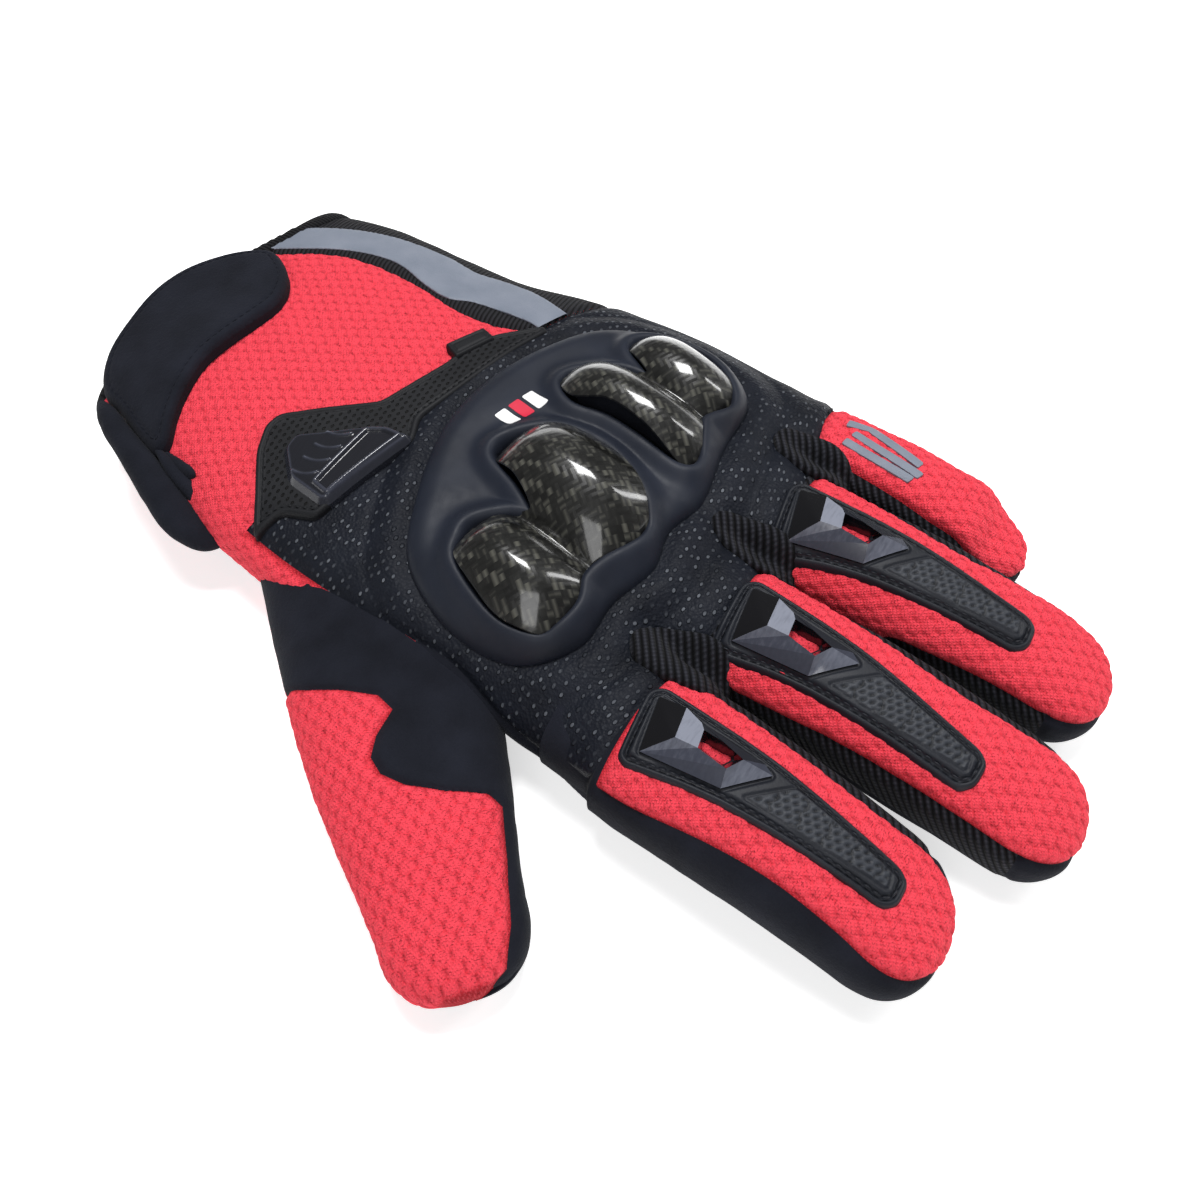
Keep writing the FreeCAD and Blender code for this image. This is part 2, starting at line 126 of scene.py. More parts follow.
def hash_noise(p, seed=0):
    """Smooth value noise at points p, one unit to a cell, from -1 to 1."""
    cell = np.floor(p).astype(np.int64)
    f = p - cell
    f = f * f * (3 - 2 * f)
    total = 0.0
    for corner in range(8):
        off = np.array([(corner >> k) & 1 for k in range(3)])
        c = cell + off
        n = (c[:, 0] * 73856093) ^ (c[:, 1] * 19349663) ^ (c[:, 2] * 83492791) ^ (seed * 7919)
        n = (n ^ (n >> 13)) * 1274126177
        value = ((n >> 8) & 0xFFFF) / 32767.5 - 1.0
        weight = np.prod(np.where(off, f, 1 - f), axis=1)
        total = total + value * weight
    return total


# ---- outlines seen from above -----------------------------------------------------------
def curved_loop(points, steps=10):
    """Closed smooth outline through the points."""
    p = np.asarray(points, float)
    a, b, c, d = (np.roll(p, k, 0) for k in (1, 0, -1, -2))
    t = (np.arange(steps) / steps)[None, :, None]
    out = 0.5 * (2 * b[:, None] + (c - a)[:, None] * t
                 + (2 * a - 5 * b + 4 * c - d)[:, None] * t ** 2
                 + (3 * b - a - 3 * c + d)[:, None] * t ** 3)
    return out.reshape(-1, 2)


def cornered_loop(points, radius=1.5, steps=5):
    """Closed outline with straight sides and rounded corners."""
    p = np.asarray(points, float)
    out = []
    for i in range(len(p)):
        before = p[i - 1] - p[i]
        after = p[(i + 1) % len(p)] - p[i]
        lb = np.linalg.norm(before)
        la = np.linalg.norm(after)
        r = min(radius, 0.45 * lb, 0.45 * la)
        a = p[i] + before / lb * r
        b = p[i] + after / la * r
        for t in np.linspace(0, 1, steps):
            out.append((1 - t) ** 2 * a + 2 * t * (1 - t) * p[i] + t * t * b)
    return np.array(out)


def depth_in(x, y, loop):
    """Distance of the points x, y to the closed outline, positive inside it."""
    return inside(np.stack([x, y], 1), loop)


def inside(xy, loop):
    """Distance of each point to the closed outline, positive inside it."""
    xy = np.asarray(xy, float)
    result = np.empty(len(xy))
    a = loop
    ab = np.roll(loop, -1, 0) - a
    length2 = np.maximum((ab ** 2).sum(1), 1e-12)
    for start in range(0, len(xy), 20000):
        p = xy[start:start + 20000, None, :]
        ap = p - a
        t = np.clip((ap * ab).sum(2) / length2, 0, 1)
        d2 = ((ap - t[..., None] * ab) ** 2).sum(2).min(1)
        above = a[:, 1] > p[..., 1]
        above_next = (a + ab)[:, 1] > p[..., 1]
        with np.errstate(divide="ignore", invalid="ignore"):
            cross_x = a[:, 0] + (p[..., 1] - a[:, 1]) / ab[:, 1] * ab[:, 0]
        hits = ((above != above_next) & (p[..., 0] < cross_x)).sum(1)
        result[start:start + 20000] = np.where(hits % 2 == 1, 1, -1) * np.sqrt(d2)
    return result


# ---- triangle meshes --------------------------------------------------------------------
class Mesh:
    """Vertices, triangles and values carried by the vertices."""

    def __init__(self, v, t, **data):
        self.v = np.asarray(v, float)
        self.t = np.asarray(t, np.int64)
        self.data = data

    def normals(self):
        p = self.v[self.t]
        n = np.cross(p[:, 1] - p[:, 0], p[:, 2] - p[:, 0])
        total = np.zeros_like(self.v)
        for axis in range(3):
            for corner in range(3):
                total[:, axis] += np.bincount(self.t[:, corner], n[:, axis], len(self.v))
        return unit(total)

    def pick(self, rows, triangles):
        data = {k: d[rows] for k, d in self.data.items()}
        return Mesh(self.v[rows], triangles, **data)

    def clip(self, field):
        """The part where the field is positive, cut along its zero line."""
        field = np.where(np.abs(field) < 1e-9, 1e-9, field)
        keep = field > 0
        count = keep[self.t].sum(1)
        whole = self.t[count == 3]
        pieces = [whole]
        edges = []
        base = len(self.v)
        parts = []
        for wanted in (1, 2):
            tri = self.t[count == wanted]
            if not len(tri):
                continue
            odd = keep[tri] if wanted == 1 else ~keep[tri]
            shift = odd.argmax(1)
            tri = np.stack([tri[np.arange(len(tri)), (shift + k) % 3] for k in range(3)], 1)
            parts.append((wanted, tri))
            edges += [tri[:, [0, 1]], tri[:, [0, 2]]]
        if not edges:
            return self.compact(whole)
        pairs = np.sort(np.concatenate(edges), 1)
        unique, index = np.unique(pairs, axis=0, return_inverse=True)
        index = index.reshape(-1)
        fa, fb = field[unique[:, 0]], field[unique[:, 1]]
        w = (fa / (fa - fb))
        v = np.concatenate([self.v, self._between(self.v, unique, w)])
        data = {k: np.concatenate([d, self._between(d, unique, w)])
                for k, d in self.data.items()}
        at = 0
        for wanted, tri in parts:
            n = len(tri)
            ab = base + index[at:at + n]
            ac = base + index[at + n:at + 2 * n]
            at += 2 * n
            if wanted == 1:
                pieces.append(np.stack([tri[:, 0], ab, ac], 1))
            else:
                pieces.append(np.stack([ab, tri[:, 1], tri[:, 2]], 1))
                pieces.append(np.stack([ab, tri[:, 2], ac], 1))
        return Mesh(v, np.concatenate(pieces), **data).compact()

    @staticmethod
    def _between(values, pairs, w):
        shape = (-1,) + (1,) * (values.ndim - 1)
        w = w.reshape(shape)
        return values[pairs[:, 0]] * (1 - w) + values[pairs[:, 1]] * w

    def compact(self, triangles=None):
        t = self.t if triangles is None else triangles
        used = np.unique(t)
        back = np.zeros(len(self.v), np.int64)
        back[used] = np.arange(len(used))
        return self.pick(used, back[t])

    def rim(self):
        """Directed edges that belong to one triangle only."""
        e = np.concatenate([self.t[:, [0, 1]], self.t[:, [1, 2]], self.t[:, [2, 0]]])
        key = np.sort(e, 1)
        _, index, count = np.unique(key, axis=0, return_inverse=True, return_counts=True)
        return e[count[index.reshape(-1)] == 1]

    def skirt(self, drop):
        """A wall hanging from every open edge by the vector or vectors drop."""
        e = self.rim()
        used = np.unique(e)
        back = np.zeros(len(self.v), np.int64)
        back[used] = np.arange(len(used))
        n = len(self.v)
        m = len(used)
        drop = np.broadcast_to(np.asarray(drop, float), self.v.shape)
        v = np.concatenate([self.v, self.v[used], self.v[used] + drop[used]])
        data = {k: np.concatenate([d, d[used], d[used]]) for k, d in self.data.items()}
        a = n + back[e[:, 0]]
        b = n + back[e[:, 1]]
        wall = np.concatenate([np.stack([b, a, a + m], 1), np.stack([b, a + m, b + m], 1)])
        return Mesh(v, np.concatenate([self.t, wall]), **data)


def joined(meshes):
    """One mesh from several that carry the same data."""
    offset = np.cumsum([0] + [len(m.v) for m in meshes])
    data = {k: np.concatenate([m.data[k] for m in meshes]) for k in meshes[0].data}
    return Mesh(np.concatenate([m.v for m in meshes]),
                np.concatenate([m.t + o for m, o in zip(meshes, offset)]), **data)


def grid_triangles(rows, columns, wrap=False):
    """Triangles over a grid of points in row order; wrap joins the last column to the first."""
    i = np.arange(rows - 1)[:, None]
    j = np.arange(columns if wrap else columns - 1)[None, :]
    k = (j + 1) % columns
    a, b = i * columns + j, i * columns + k
    c, d = (i + 1) * columns + k, (i + 1) * columns + j
    flip = ((i + j) % 2 == 0)
    one = np.where(flip[..., None], np.stack([a, b, c], -1), np.stack([a, b, d], -1))
    two = np.where(flip[..., None], np.stack([a, c, d], -1), np.stack([b, c, d], -1))
    return np.concatenate([one.reshape(-1, 3), two.reshape(-1, 3)])


def add(name, data):
    """An object in the scene from a mesh, a camera or a light."""
    obj = bpy.data.objects.new(name, data)
    bpy.context.scene.collection.objects.link(obj)
    return obj


def make(name, mesh, slot, material=None, body=None, replaces=()):
    """A Blender object from a mesh in millimetres, riding on a body when one is given.

    Its material is the one of the slot's name unless another is given.
    """
    data = bpy.data.meshes.new(name)
    data.vertices.add(len(mesh.v))
    data.vertices.foreach_set("co", (mesh.v * MM).astype(np.float32).ravel())
    data.loops.add(3 * len(mesh.t))
    data.loops.foreach_set("vertex_index", mesh.t.astype(np.int32).ravel())
    data.polygons.add(len(mesh.t))
    data.polygons.foreach_set("loop_start", np.arange(0, 3 * len(mesh.t), 3, dtype=np.int32))
    data.update(calc_edges=True)
    data.validate()
    data.shade_smooth()
    for key, values in mesh.data.items():
        kind = "FLOAT" if values.ndim == 1 else "FLOAT_VECTOR"
        attribute = data.attributes.new(key, kind, "POINT")
        field = "value" if values.ndim == 1 else "vector"
        attribute.data.foreach_set(field, values.astype(np.float32).ravel())
    obj = add(name, data)
    data.materials.append(MATERIALS[material or slot])
    if body:
        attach(obj, body)
    if replaces:
        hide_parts(*replaces)
    return obj


def on_hand(name, mesh, slot, material=None, replaces=None):
    """A piece that rides on the hand, in place of the node of its name unless others are given."""
    nodes = [name] if replaces is None else replaces
    return make(name, dressed(mesh), slot, material, "hand", nodes)


# ---- the hand -----------------------------------------------------------------------------
def oval_height(rel):
    """Share of the half height at a share of the half width of an oval."""
    return np.maximum(1 - np.minimum(np.abs(rel), 1.0) ** OVAL_POWER, 0.0) ** (1 / OVAL_POWER)


def stations(table, y):
    """The columns of a table of sections at the places y."""
    rows = np.array(table, float)
    return [smooth_curve(y, rows[:, 0], rows[:, k]) for k in range(1, rows.shape[1])]


def finger_section(name, y):
    """Centre x, centre z, half width and half height of a finger before its tip is rounded."""
    x0, x1, tip, w0, w1, h0, joint = FINGERS[name]
    t = (y - KNUCKLE_Y) / (tip - KNUCKLE_Y)
    xc = x0 + (x1 - x0) * t
    w = w0 + (w1 - w0) * np.clip(t, 0, 1)
    length = tip - KNUCKLE_Y
    marks = [FINGER_ROOT, KNUCKLE_Y, joint, tip - 0.28 * length, tip - 10, tip]
    zc = smooth_curve(y, marks, [14.0, 14.0, 14.4, 12.4, 10.6, 9.4])
    h = smooth_curve(y, marks, [h0 - 0.4, h0, h0 - 0.9, h0 - 2.2, h0 - 3.0, h0 - 3.6])
    return xc, zc, w, h


def tip_rounding(y, tip):
    t = np.clip((y - (tip - TIP_ROUND)) / TIP_ROUND, 0, 1)
    return (1 - t ** 2.3) ** (1 / 2.3)


def finger_roots(x, y, side):
    """Upper (side 1) or lower (side -1) surface of the four finger roots, joined by webs."""
    web = {1: 20.0, -1: 6.0}[side]
    level = np.full(np.broadcast(x, y).shape, web * side)
    for name in FINGERS:
        xc, zc, w, h = finger_section(name, y)
        surface = zc * side + h * oval_height((x - xc) / w)
        surface = np.where(np.abs(x - xc) < w, surface, -99.0)
        level = smooth_max(level, surface, 3.0)
    return level * side


GUARD_FRAME = curved_loop([(37, -20), (44, -8), (46, 5), (43.5, 15), (35, 22), (24, 22.5), (13, 25.5),
                           (3, 23.5), (-8, 25.5), (-23, 22.5), (-38, 20.5), (-45.5, 13), (-47.5, 2),
                           (-45, -12), (-38, -21.5), (-26, -28), (-14, -32), (-2, -33.5),
                           (10, -32), (24, -27)])


def hand_lift(x, y):
    """Padding of the leather: a stuffed ring round the knuckle guard, and gentle waves."""
    flat = np.stack([np.ravel(x), np.ravel(y)], 1)
    outside = -inside(flat, GUARD_FRAME).reshape(np.shape(x))
    ring = 1.7 * bump(outside, 4.0, 3.4) - 0.5 * bump(outside, 9.2, 1.2)
    ring = ring + 0.9 * bump(outside, 13.0, 3.0) * ease((y + 20) / 30)
    return ring * ease((y + 48) / 14) * ease((46 - y) / 12)


def hand_top(x, y, lift=True):
    """Height of the hand's back over a point of the plan."""
    xc, zc, w, h = stations(HAND, y)
    z = zc + h * oval_height((x - xc) / w)
    share = ease((y - ROOTS_FROM) / ROOTS_OVER)
    z = z + (finger_roots(x, y, 1) - z) * share * (np.abs((x - xc) / w) < 0.99)
    if lift:
        z = z + hand_lift(x, y)
    return z


def ring_grid(x, z, y, columns):
    """Rings resampled to evenly spaced columns; arc is the girth from the top, + to the thumb."""
    rows = len(y)
    points = np.empty((rows, columns, 3))
    arcs = np.empty((rows, columns))
    share = np.arange(columns) / columns
    for i in range(rows):
        px = np.append(x[i], x[i, 0])
        pz = np.append(z[i], z[i, 0])
        arc = np.concatenate([[0], np.cumsum(np.hypot(np.diff(px), np.diff(pz)))])
        total = arc[-1]
        top = arc[len(x[i]) // 2]
        at = share * total
        points[i, :, 0] = np.interp(at, arc, px)
        points[i, :, 1] = y[i]
        points[i, :, 2] = np.interp(at, arc, pz)
        arcs[i] = top - at
    return points, arcs


def oval_rings(xc, zc, w, h, count):
    """Ovals of half sizes w and h in count points, from the lowest one towards +X and round."""
    turn = (-90 + np.arange(count) * (360 / count)) * math.pi / 180
    c, s = np.cos(turn), np.sin(turn)
    x = xc + w * np.sign(c) * np.abs(c) ** (2 / OVAL_POWER)
    z = zc + h * np.sign(s) * np.abs(s) ** (2 / OVAL_POWER)
    return x, z


HAND_POINTS = 1440      # points of a ring before it is resampled
LIFT_EVERY = 6          # the padding is worked out at every sixth of them


def hand_rings(y, columns, shrink=0.0):
    """Rings of the hand's skin, or of its lining when they are shrunk."""
    xc, zc, w, h = [a[:, None] for a in stations(HAND, y)]
    w = w - shrink
    h = h - shrink
    x, z = oval_rings(xc, zc, w, h, HAND_POINTS)
    yy = np.broadcast_to(y[:, None], x.shape)
    share = ease((yy - ROOTS_FROM) / ROOTS_OVER) * (np.abs((x - xc) / w) < 0.995)
    roots = np.where(z > zc, finger_roots(x, yy, 1) - shrink, finger_roots(x, yy, -1) + shrink)
    z = z + (roots - z) * share
    if not shrink:
        over = np.clip((z - zc) / h, 0, 1)
        lift = hand_lift(x[:, ::LIFT_EVERY], yy[:, ::LIFT_EVERY])
        z = z + np.repeat(lift, LIFT_EVERY, axis=1) * over
    return ring_grid(x, np.maximum(z, PALM_Z + shrink), y, columns)


def tube_mesh(points, arcs, y):
    rows, columns = arcs.shape
    triangles = grid_triangles(rows, columns, wrap=True)[:, ::-1]
    along = np.broadcast_to(y[:, None], arcs.shape)
    pattern = np.stack([arcs, along, np.zeros_like(arcs)], -1)
    return Mesh(points.reshape(-1, 3), triangles, pattern=pattern.reshape(-1, 3))


def cuff_line(x):
    """The mouth of the cuff, a little shorter on the little finger's side."""
    return -116.8 + 4.6 * ease((-6.0 - x) / 30.0)


def hand_surface(step=0.55, columns=500):
    y = np.arange(CUFF_START, HAND_END, step)
    points, arcs = hand_rings(y, columns)
    return tube_mesh(points, arcs, y)


def hand_lining():
    y = np.arange(CUFF_START, 30.0, 1.5)
    points, arcs = hand_rings(y, 200, shrink=2.2)
    mesh = tube_mesh(points, arcs, y)
    mesh.t = mesh.t[:, ::-1]
    return mesh.clip(mesh.v[:, 1] - cuff_line(mesh.v[:, 0]) - 0.4)


# ---- fingers and thumb ------------------------------------------------------------------
def rows_to_tip(start, tip, step):
    body = np.arange(start, tip - TIP_ROUND, step)
    turn = np.linspace(0, math.radians(89.4), 40)
    return np.concatenate([body, tip - TIP_ROUND + TIP_ROUND * np.sin(turn)])


SLEEVE_POINTS = 720     # points of a finger's or the thumb's ring before it is resampled


def sleeve(sections, y, tip, columns):
    """A sleeve along +Y through the sections at y, rounded off at its tip."""
    xc, zc, w, h = [a[:, None] for a in sections]
    share = tip_rounding(y, tip)[:, None]
    x, z = oval_rings(xc, zc, w * share, h * share, SLEEVE_POINTS)
    points, arcs = ring_grid(x, z, y, columns)
    return tube_mesh(points, arcs, y)


def finger_surface(name, step=0.5, columns=190):
    tip = FINGERS[name][2]
    y = rows_to_tip(FINGER_ROOT, tip, step)
    return sleeve(finger_section(name, y), y, tip, columns)


def thumb_section(y):
    return stations(THUMB, np.minimum(y, THUMB_STEADY))


def thumb_surface(step=0.5, columns=230):
    """The thumb in its own frame, along +Y from its origin, then turned into place."""
    y = rows_to_tip(THUMB_START, THUMB_TIP, step)
    mesh = sleeve(thumb_section(y), y, THUMB_TIP, columns)
    mesh.data["local"] = mesh.v.copy()
    mesh.v[:, :2] = THUMB_ORIGIN + mesh.v[:, [1]] * THUMB_ALONG + mesh.v[:, [0]] * THUMB_ACROSS
    return mesh


# ---- surface patterns ---------------------------------------------------------------------
def knit(pattern, wide=3.3, tall=2.5):
    """Rounded scallops of the 3-D mesh in staggered rows: height 0..1, and the strength 0..1 of the painted
    shade in the openings between them.
    """
    u = pattern[:, 0] / wide
    v = pattern[:, 1] / tall
    u = u + 0.05 * hash_noise(pattern * 0.23, 5)
    v = v + 0.07 * hash_noise(pattern * 0.19, 6)
    height = np.zeros(len(u))
    for k in (-1, 0, 1):
        row = np.floor(v) + k
        du = u + 0.5 * (row % 2)
        du = du - np.round(du)
        dv = v - (row + 0.5)
        away = (np.abs(du) / 0.56) ** 2.6 + (np.abs(dv + 0.06) / 0.66) ** 2.6
        height = np.maximum(height, 1 - away ** 1.5)
    row = np.floor(v)
    du = np.abs(u + 0.5 * (row % 2) - np.round(u + 0.5 * (row % 2)))
    dv = v - row
    pore = np.exp(-((du - 0.5) * wide / 0.42) ** 2 - ((dv - 0.32) * tall / 0.55) ** 2)
    pore = np.maximum(pore, 0.6 * np.exp(-((du - 0.22) * wide / 0.35) ** 2
                                         - ((dv - 0.02) * tall / 0.3) ** 2))
    return height, pore


def with_knit(mesh, distance, amount=0.55):
    """The mesh raised into scallops, which fade out towards the seams."""
    height, pore = knit(mesh.data["pattern"])
    fade = ease(distance / 1.6)
    wave = 0.18 * hash_noise(mesh.data["pattern"] * 0.09, 9)
    lift = amount * (height - 0.6) * fade + (0.25 + wave) * ease(distance / 3.0)
    mesh.v = mesh.v + mesh.normals() * lift[:, None]
    # height and pore strength carry the red mesh's painted shade, in its valleys and in its openings
    mesh.data["height"] = height * fade
    mesh.data["pore"] = pore * fade
    return mesh


def with_wrinkles(mesh, amount=0.25, size=7.0, seed=2):
    noise = hash_noise(mesh.v / size, seed) + 0.5 * hash_noise(mesh.v / size * 2.3, seed + 1)
    mesh.v = mesh.v + mesh.normals() * (noise * amount)[:, None]
    return mesh


# ---- seams of the fingers -------------------------------------------------------------------
# place along the finger, then the width share where the red back ends on the outer and inner side
RED_BACK = {
    "index": ([24, 50, 62, 76, 90, 100, 109], [-.80, -.82, -.80, -.76, -.78, -.84, -.9],
              [.93, .88, .80, .74, .76, .80, .84]),
    "middle": ([24, 46, 60, 75, 88, 102, 122], [-.92, -.92, -.86, -.74, -.66, -.74, -.9],
               [.98, .98, .97, .94, .92, .90, .88]),
    "ring": ([24, 46, 60, 75, 88, 100, 114], [-.90, -.86, -.78, -.66, -.74, -.86, -.92],
             [1.06, 1.06, 1.03, .99, .96, .92, .90]),
    "little": ([24, 40, 52, 65, 78, 84, 90], [-1.12, -1.12, -1.1, -1.06, -1.02, -1.0, -.98],
               [.62, .66, .74, .84, .88, .9, .9]),
}
FINGER_SEAM = {"index": 38.5, "middle": 43.0, "ring": 42.0, "little": 36.0}
SIDE_DROP = 4.0         # how far the ribbed strips reach below the widest place
SIDE_END = 10.0         # they stop this far from the fingertip


def girth_share(share):
    """Arc from the top of a finger to a share of its half width, in half widths."""
    x = np.concatenate([np.linspace(0, 0.9, 60), 1 - 0.1 * (1 - np.linspace(0, 1, 60)) ** 2])
    z = 0.86 * oval_height(x)
    arc = np.concatenate([[0], np.cumsum(np.hypot(np.diff(x), np.diff(z)))])
    size = np.abs(share)
    reach = np.interp(np.minimum(size, 1.0), x, arc) + np.maximum(size - 1.0, 0) * 1.2
    return np.sign(share) * reach


def finger_fields(name, mesh):
    """Signed distances to the seams: red back, and ribbed side strips."""
    arc = mesh.data["pattern"][:, 0]
    y = mesh.data["pattern"][:, 1]
    marks, left, right = RED_BACK[name]
    tip = FINGERS[name][2]
    w = finger_section(name, y)[2] * tip_rounding(y, tip)
    from_left = arc - girth_share(smooth_curve(y, marks, left)) * w
    from_right = girth_share(smooth_curve(y, marks, right)) * w - arc
    red = np.minimum(np.minimum(from_left, from_right), y - FINGER_SEAM[name])
    low = girth_share(1.0) * w + SIDE_DROP - np.abs(arc)
    strip = np.minimum(low, tip - SIDE_END - y)
    if name == "index":
        strip = np.minimum(strip, -arc)
    return red, strip


def finger_panels(name):
    """Final surfaces of one finger: red back, ribbed sides and suede front."""
    mesh = finger_surface(name)
    red, strip = finger_fields(name, mesh)
    groove = 0.75 * bump(red, 0, 1.3) * ease((mesh.data["pattern"][:, 1] - 30) / 8)
    groove = groove + 0.5 * bump(np.where(red < 0, strip, 9), 0, 1.0)
    x, y = mesh.v[:, :2].T
    sunk = 2.2 * ease((finger_line(x) - y) / 1.5)
    mesh.v = mesh.v - mesh.normals() * (groove + sunk)[:, None]
    mesh = with_wrinkles(mesh, 0.22, 9.0, 11)
    mesh.data["red"] = red
    mesh.data["strip"] = strip
    back = mesh.clip(red)
    rest = mesh.clip(-red)
    sides = rest.clip(rest.data["strip"])
    front = rest.clip(-rest.data["strip"])
    back = with_knit(back, back.data["red"])
    return back, sides, front


# ---- seams of the hand ----------------------------------------------------------------------
SIDE_SEAM_Z = 22.0      # where the dotted leather ends on the thumb side
OUTER_SEAM_Z = 10.5     # the same on the little finger's side
GUSSET_EDGE = ([-124, -110, -98, -86, -76, -65, -58, -49, -33],
               [-21, -22.5, -28.5, -31.5, -32, -31, -29.5, -29, -33])


def finger_line(x):
    """Where the dotted leather of the hand ends and the fingers' panels begin."""
    return smooth_curve(x, [-62, -50, -35, -21, -6, 10, 26, 42, 58],
                        [34, 36, 40, 42, 43, 43, 41.5, 38.5, 37.5])


def wrist_line(x):
    return -34.0 - 0.295 * (x + 36.0)


def hand_fields(mesh):
    x, y, z = mesh.v.T
    thumb_side = x > stations(HAND, y)[0]
    side_seam = SIDE_SEAM_Z - 7.5 * ease((y + 5) / 32)
    upper = np.where(thumb_side, z - side_seam, z - OUTER_SEAM_Z)
    leather = np.minimum(np.minimum(upper, y - wrist_line(x)), finger_line(x) - y)
    gusset = np.minimum(smooth_curve(y, *GUSSET_EDGE) - x, wrist_line(x) - y)
    gusset = np.minimum(gusset, z - 7.0)
    taper = 9.0 + 13.0 * ease((y + 58) / 54)
    side = np.minimum(z - taper, np.where(thumb_side, -6.0 - y, z - 7.0))
    wrist = np.where(y > wrist_line(x), np.minimum(side, SIDE_SEAM_Z - z), side)
    wrist = np.where((y > wrist_line(x)) & ~thumb_side, -5.0, wrist)
    return leather, gusset, wrist


def hand_panels():
    mesh = hand_surface()
    leather, gusset, wrist = hand_fields(mesh)
    nearest = np.minimum(np.minimum(np.abs(leather), np.abs(gusset)), np.abs(wrist))
    top = ease((mesh.v[:, 2] - 4) / 4)
    mesh.v = mesh.v - mesh.normals() * (0.8 * bump(nearest, 0, 1.3) * top)[:, None]
    mesh = with_wrinkles(mesh, 0.30, 14.0, 21)
    mesh.data.update(leather=leather, gusset=gusset, wrist=wrist)
    x, y = mesh.v[:, :2].T
    mesh = mesh.clip(np.minimum(y - cuff_line(x), finger_line(x) + 0.15 - y))
    back = mesh.clip(mesh.data["leather"])
    rest = mesh.clip(-mesh.data["leather"])
    outer = rest.clip(rest.data["gusset"])
    rest = rest.clip(-rest.data["gusset"])
    red = rest.clip(rest.data["wrist"])
    palm = rest.clip(-rest.data["wrist"])
    red = with_knit(red, red.data["wrist"], 0.36)
    return back, outer, red, palm


# ---- seams of the thumb -----------------------------------------------------------------------
THUMB_WEB = [(0, 30), (20, 24), (25, 17), (28.6, 9.8), (32.5, 3), (36.5, 1.0), (41, 5.5), (45, 7.6),
             (49, 6.6), (53, 2.5), (56.5, -4.5), (59, -12.5), (61.5, -14.4), (72, -12.2),
             (84, -9.2), (91, -6), (94, 0)]
THUMB_UNDER_ARC = 4.0   # the red runs this far below the widest place on the outer side


def thumb_panels():
    mesh = thumb_surface()
    local = mesh.data["local"]
    marks = np.array(THUMB_WEB, float)
    edge = np.interp(local[:, 1], marks[:, 0], marks[:, 1])
    arc = mesh.data["pattern"][:, 0]
    y = mesh.data["pattern"][:, 1]
    w = thumb_section(y)[2] * tip_rounding(y, THUMB_TIP)
    outer = girth_share(1.0) * w * 0.92 + THUMB_UNDER_ARC - arc
    over = np.where(local[:, 2] > 9.5, local[:, 0] - edge, -3.0 + 0 * edge)
    over = np.where((local[:, 2] <= 9.5) & (local[:, 0] > 0), 6.0, over)
    red = np.minimum(over, outer)
    mesh.v = mesh.v - mesh.normals() * (0.7 * bump(red, 0, 1.3))[:, None]
    mesh = with_wrinkles(mesh, 0.25, 9.0, 31)
    mesh.data["red"] = red
    back = mesh.clip(red)
    to_tip = THUMB_TIP - 0.5 - back.data["local"][:, 1]
    back = with_knit(back, np.minimum(back.data["red"], to_tip))
    return back, mesh.clip(-red)


# ---- materials --------------------------------------------------------------------------------
SPECK_PITCH = 1.7       # the leather's raised dots
SPECK_JITTER = 0.35     # how far they stray, in pitches
SPECK_SHARE = 0.95      # the share of the grid's cells that have one


class Value:
    """An output of a material's node; arithmetic on it adds math nodes."""

    def __init__(self, shader, socket):
        self.shader = shader
        self.socket = socket

    def __add__(self, other):
        return self.shader.math("ADD", self, other)

    def __sub__(self, other):
        return self.shader.math("SUBTRACT", self, other)

    def __rsub__(self, other):
        return self.shader.math("SUBTRACT", other, self)

    def __mul__(self, other):
        return self.shader.math("MULTIPLY", self, other)

    def __truediv__(self, other):
        return self.shader.math("DIVIDE", self, other)

    def floor(self):
        return self.shader.math("FLOOR", self)

    def fract(self):
        return self.shader.math("FRACT", self)

    def limited(self):
        """Kept between 0 and 1."""
        return self.shader.math("MINIMUM", self.shader.math("MAXIMUM", self, 0.0), 1.0)


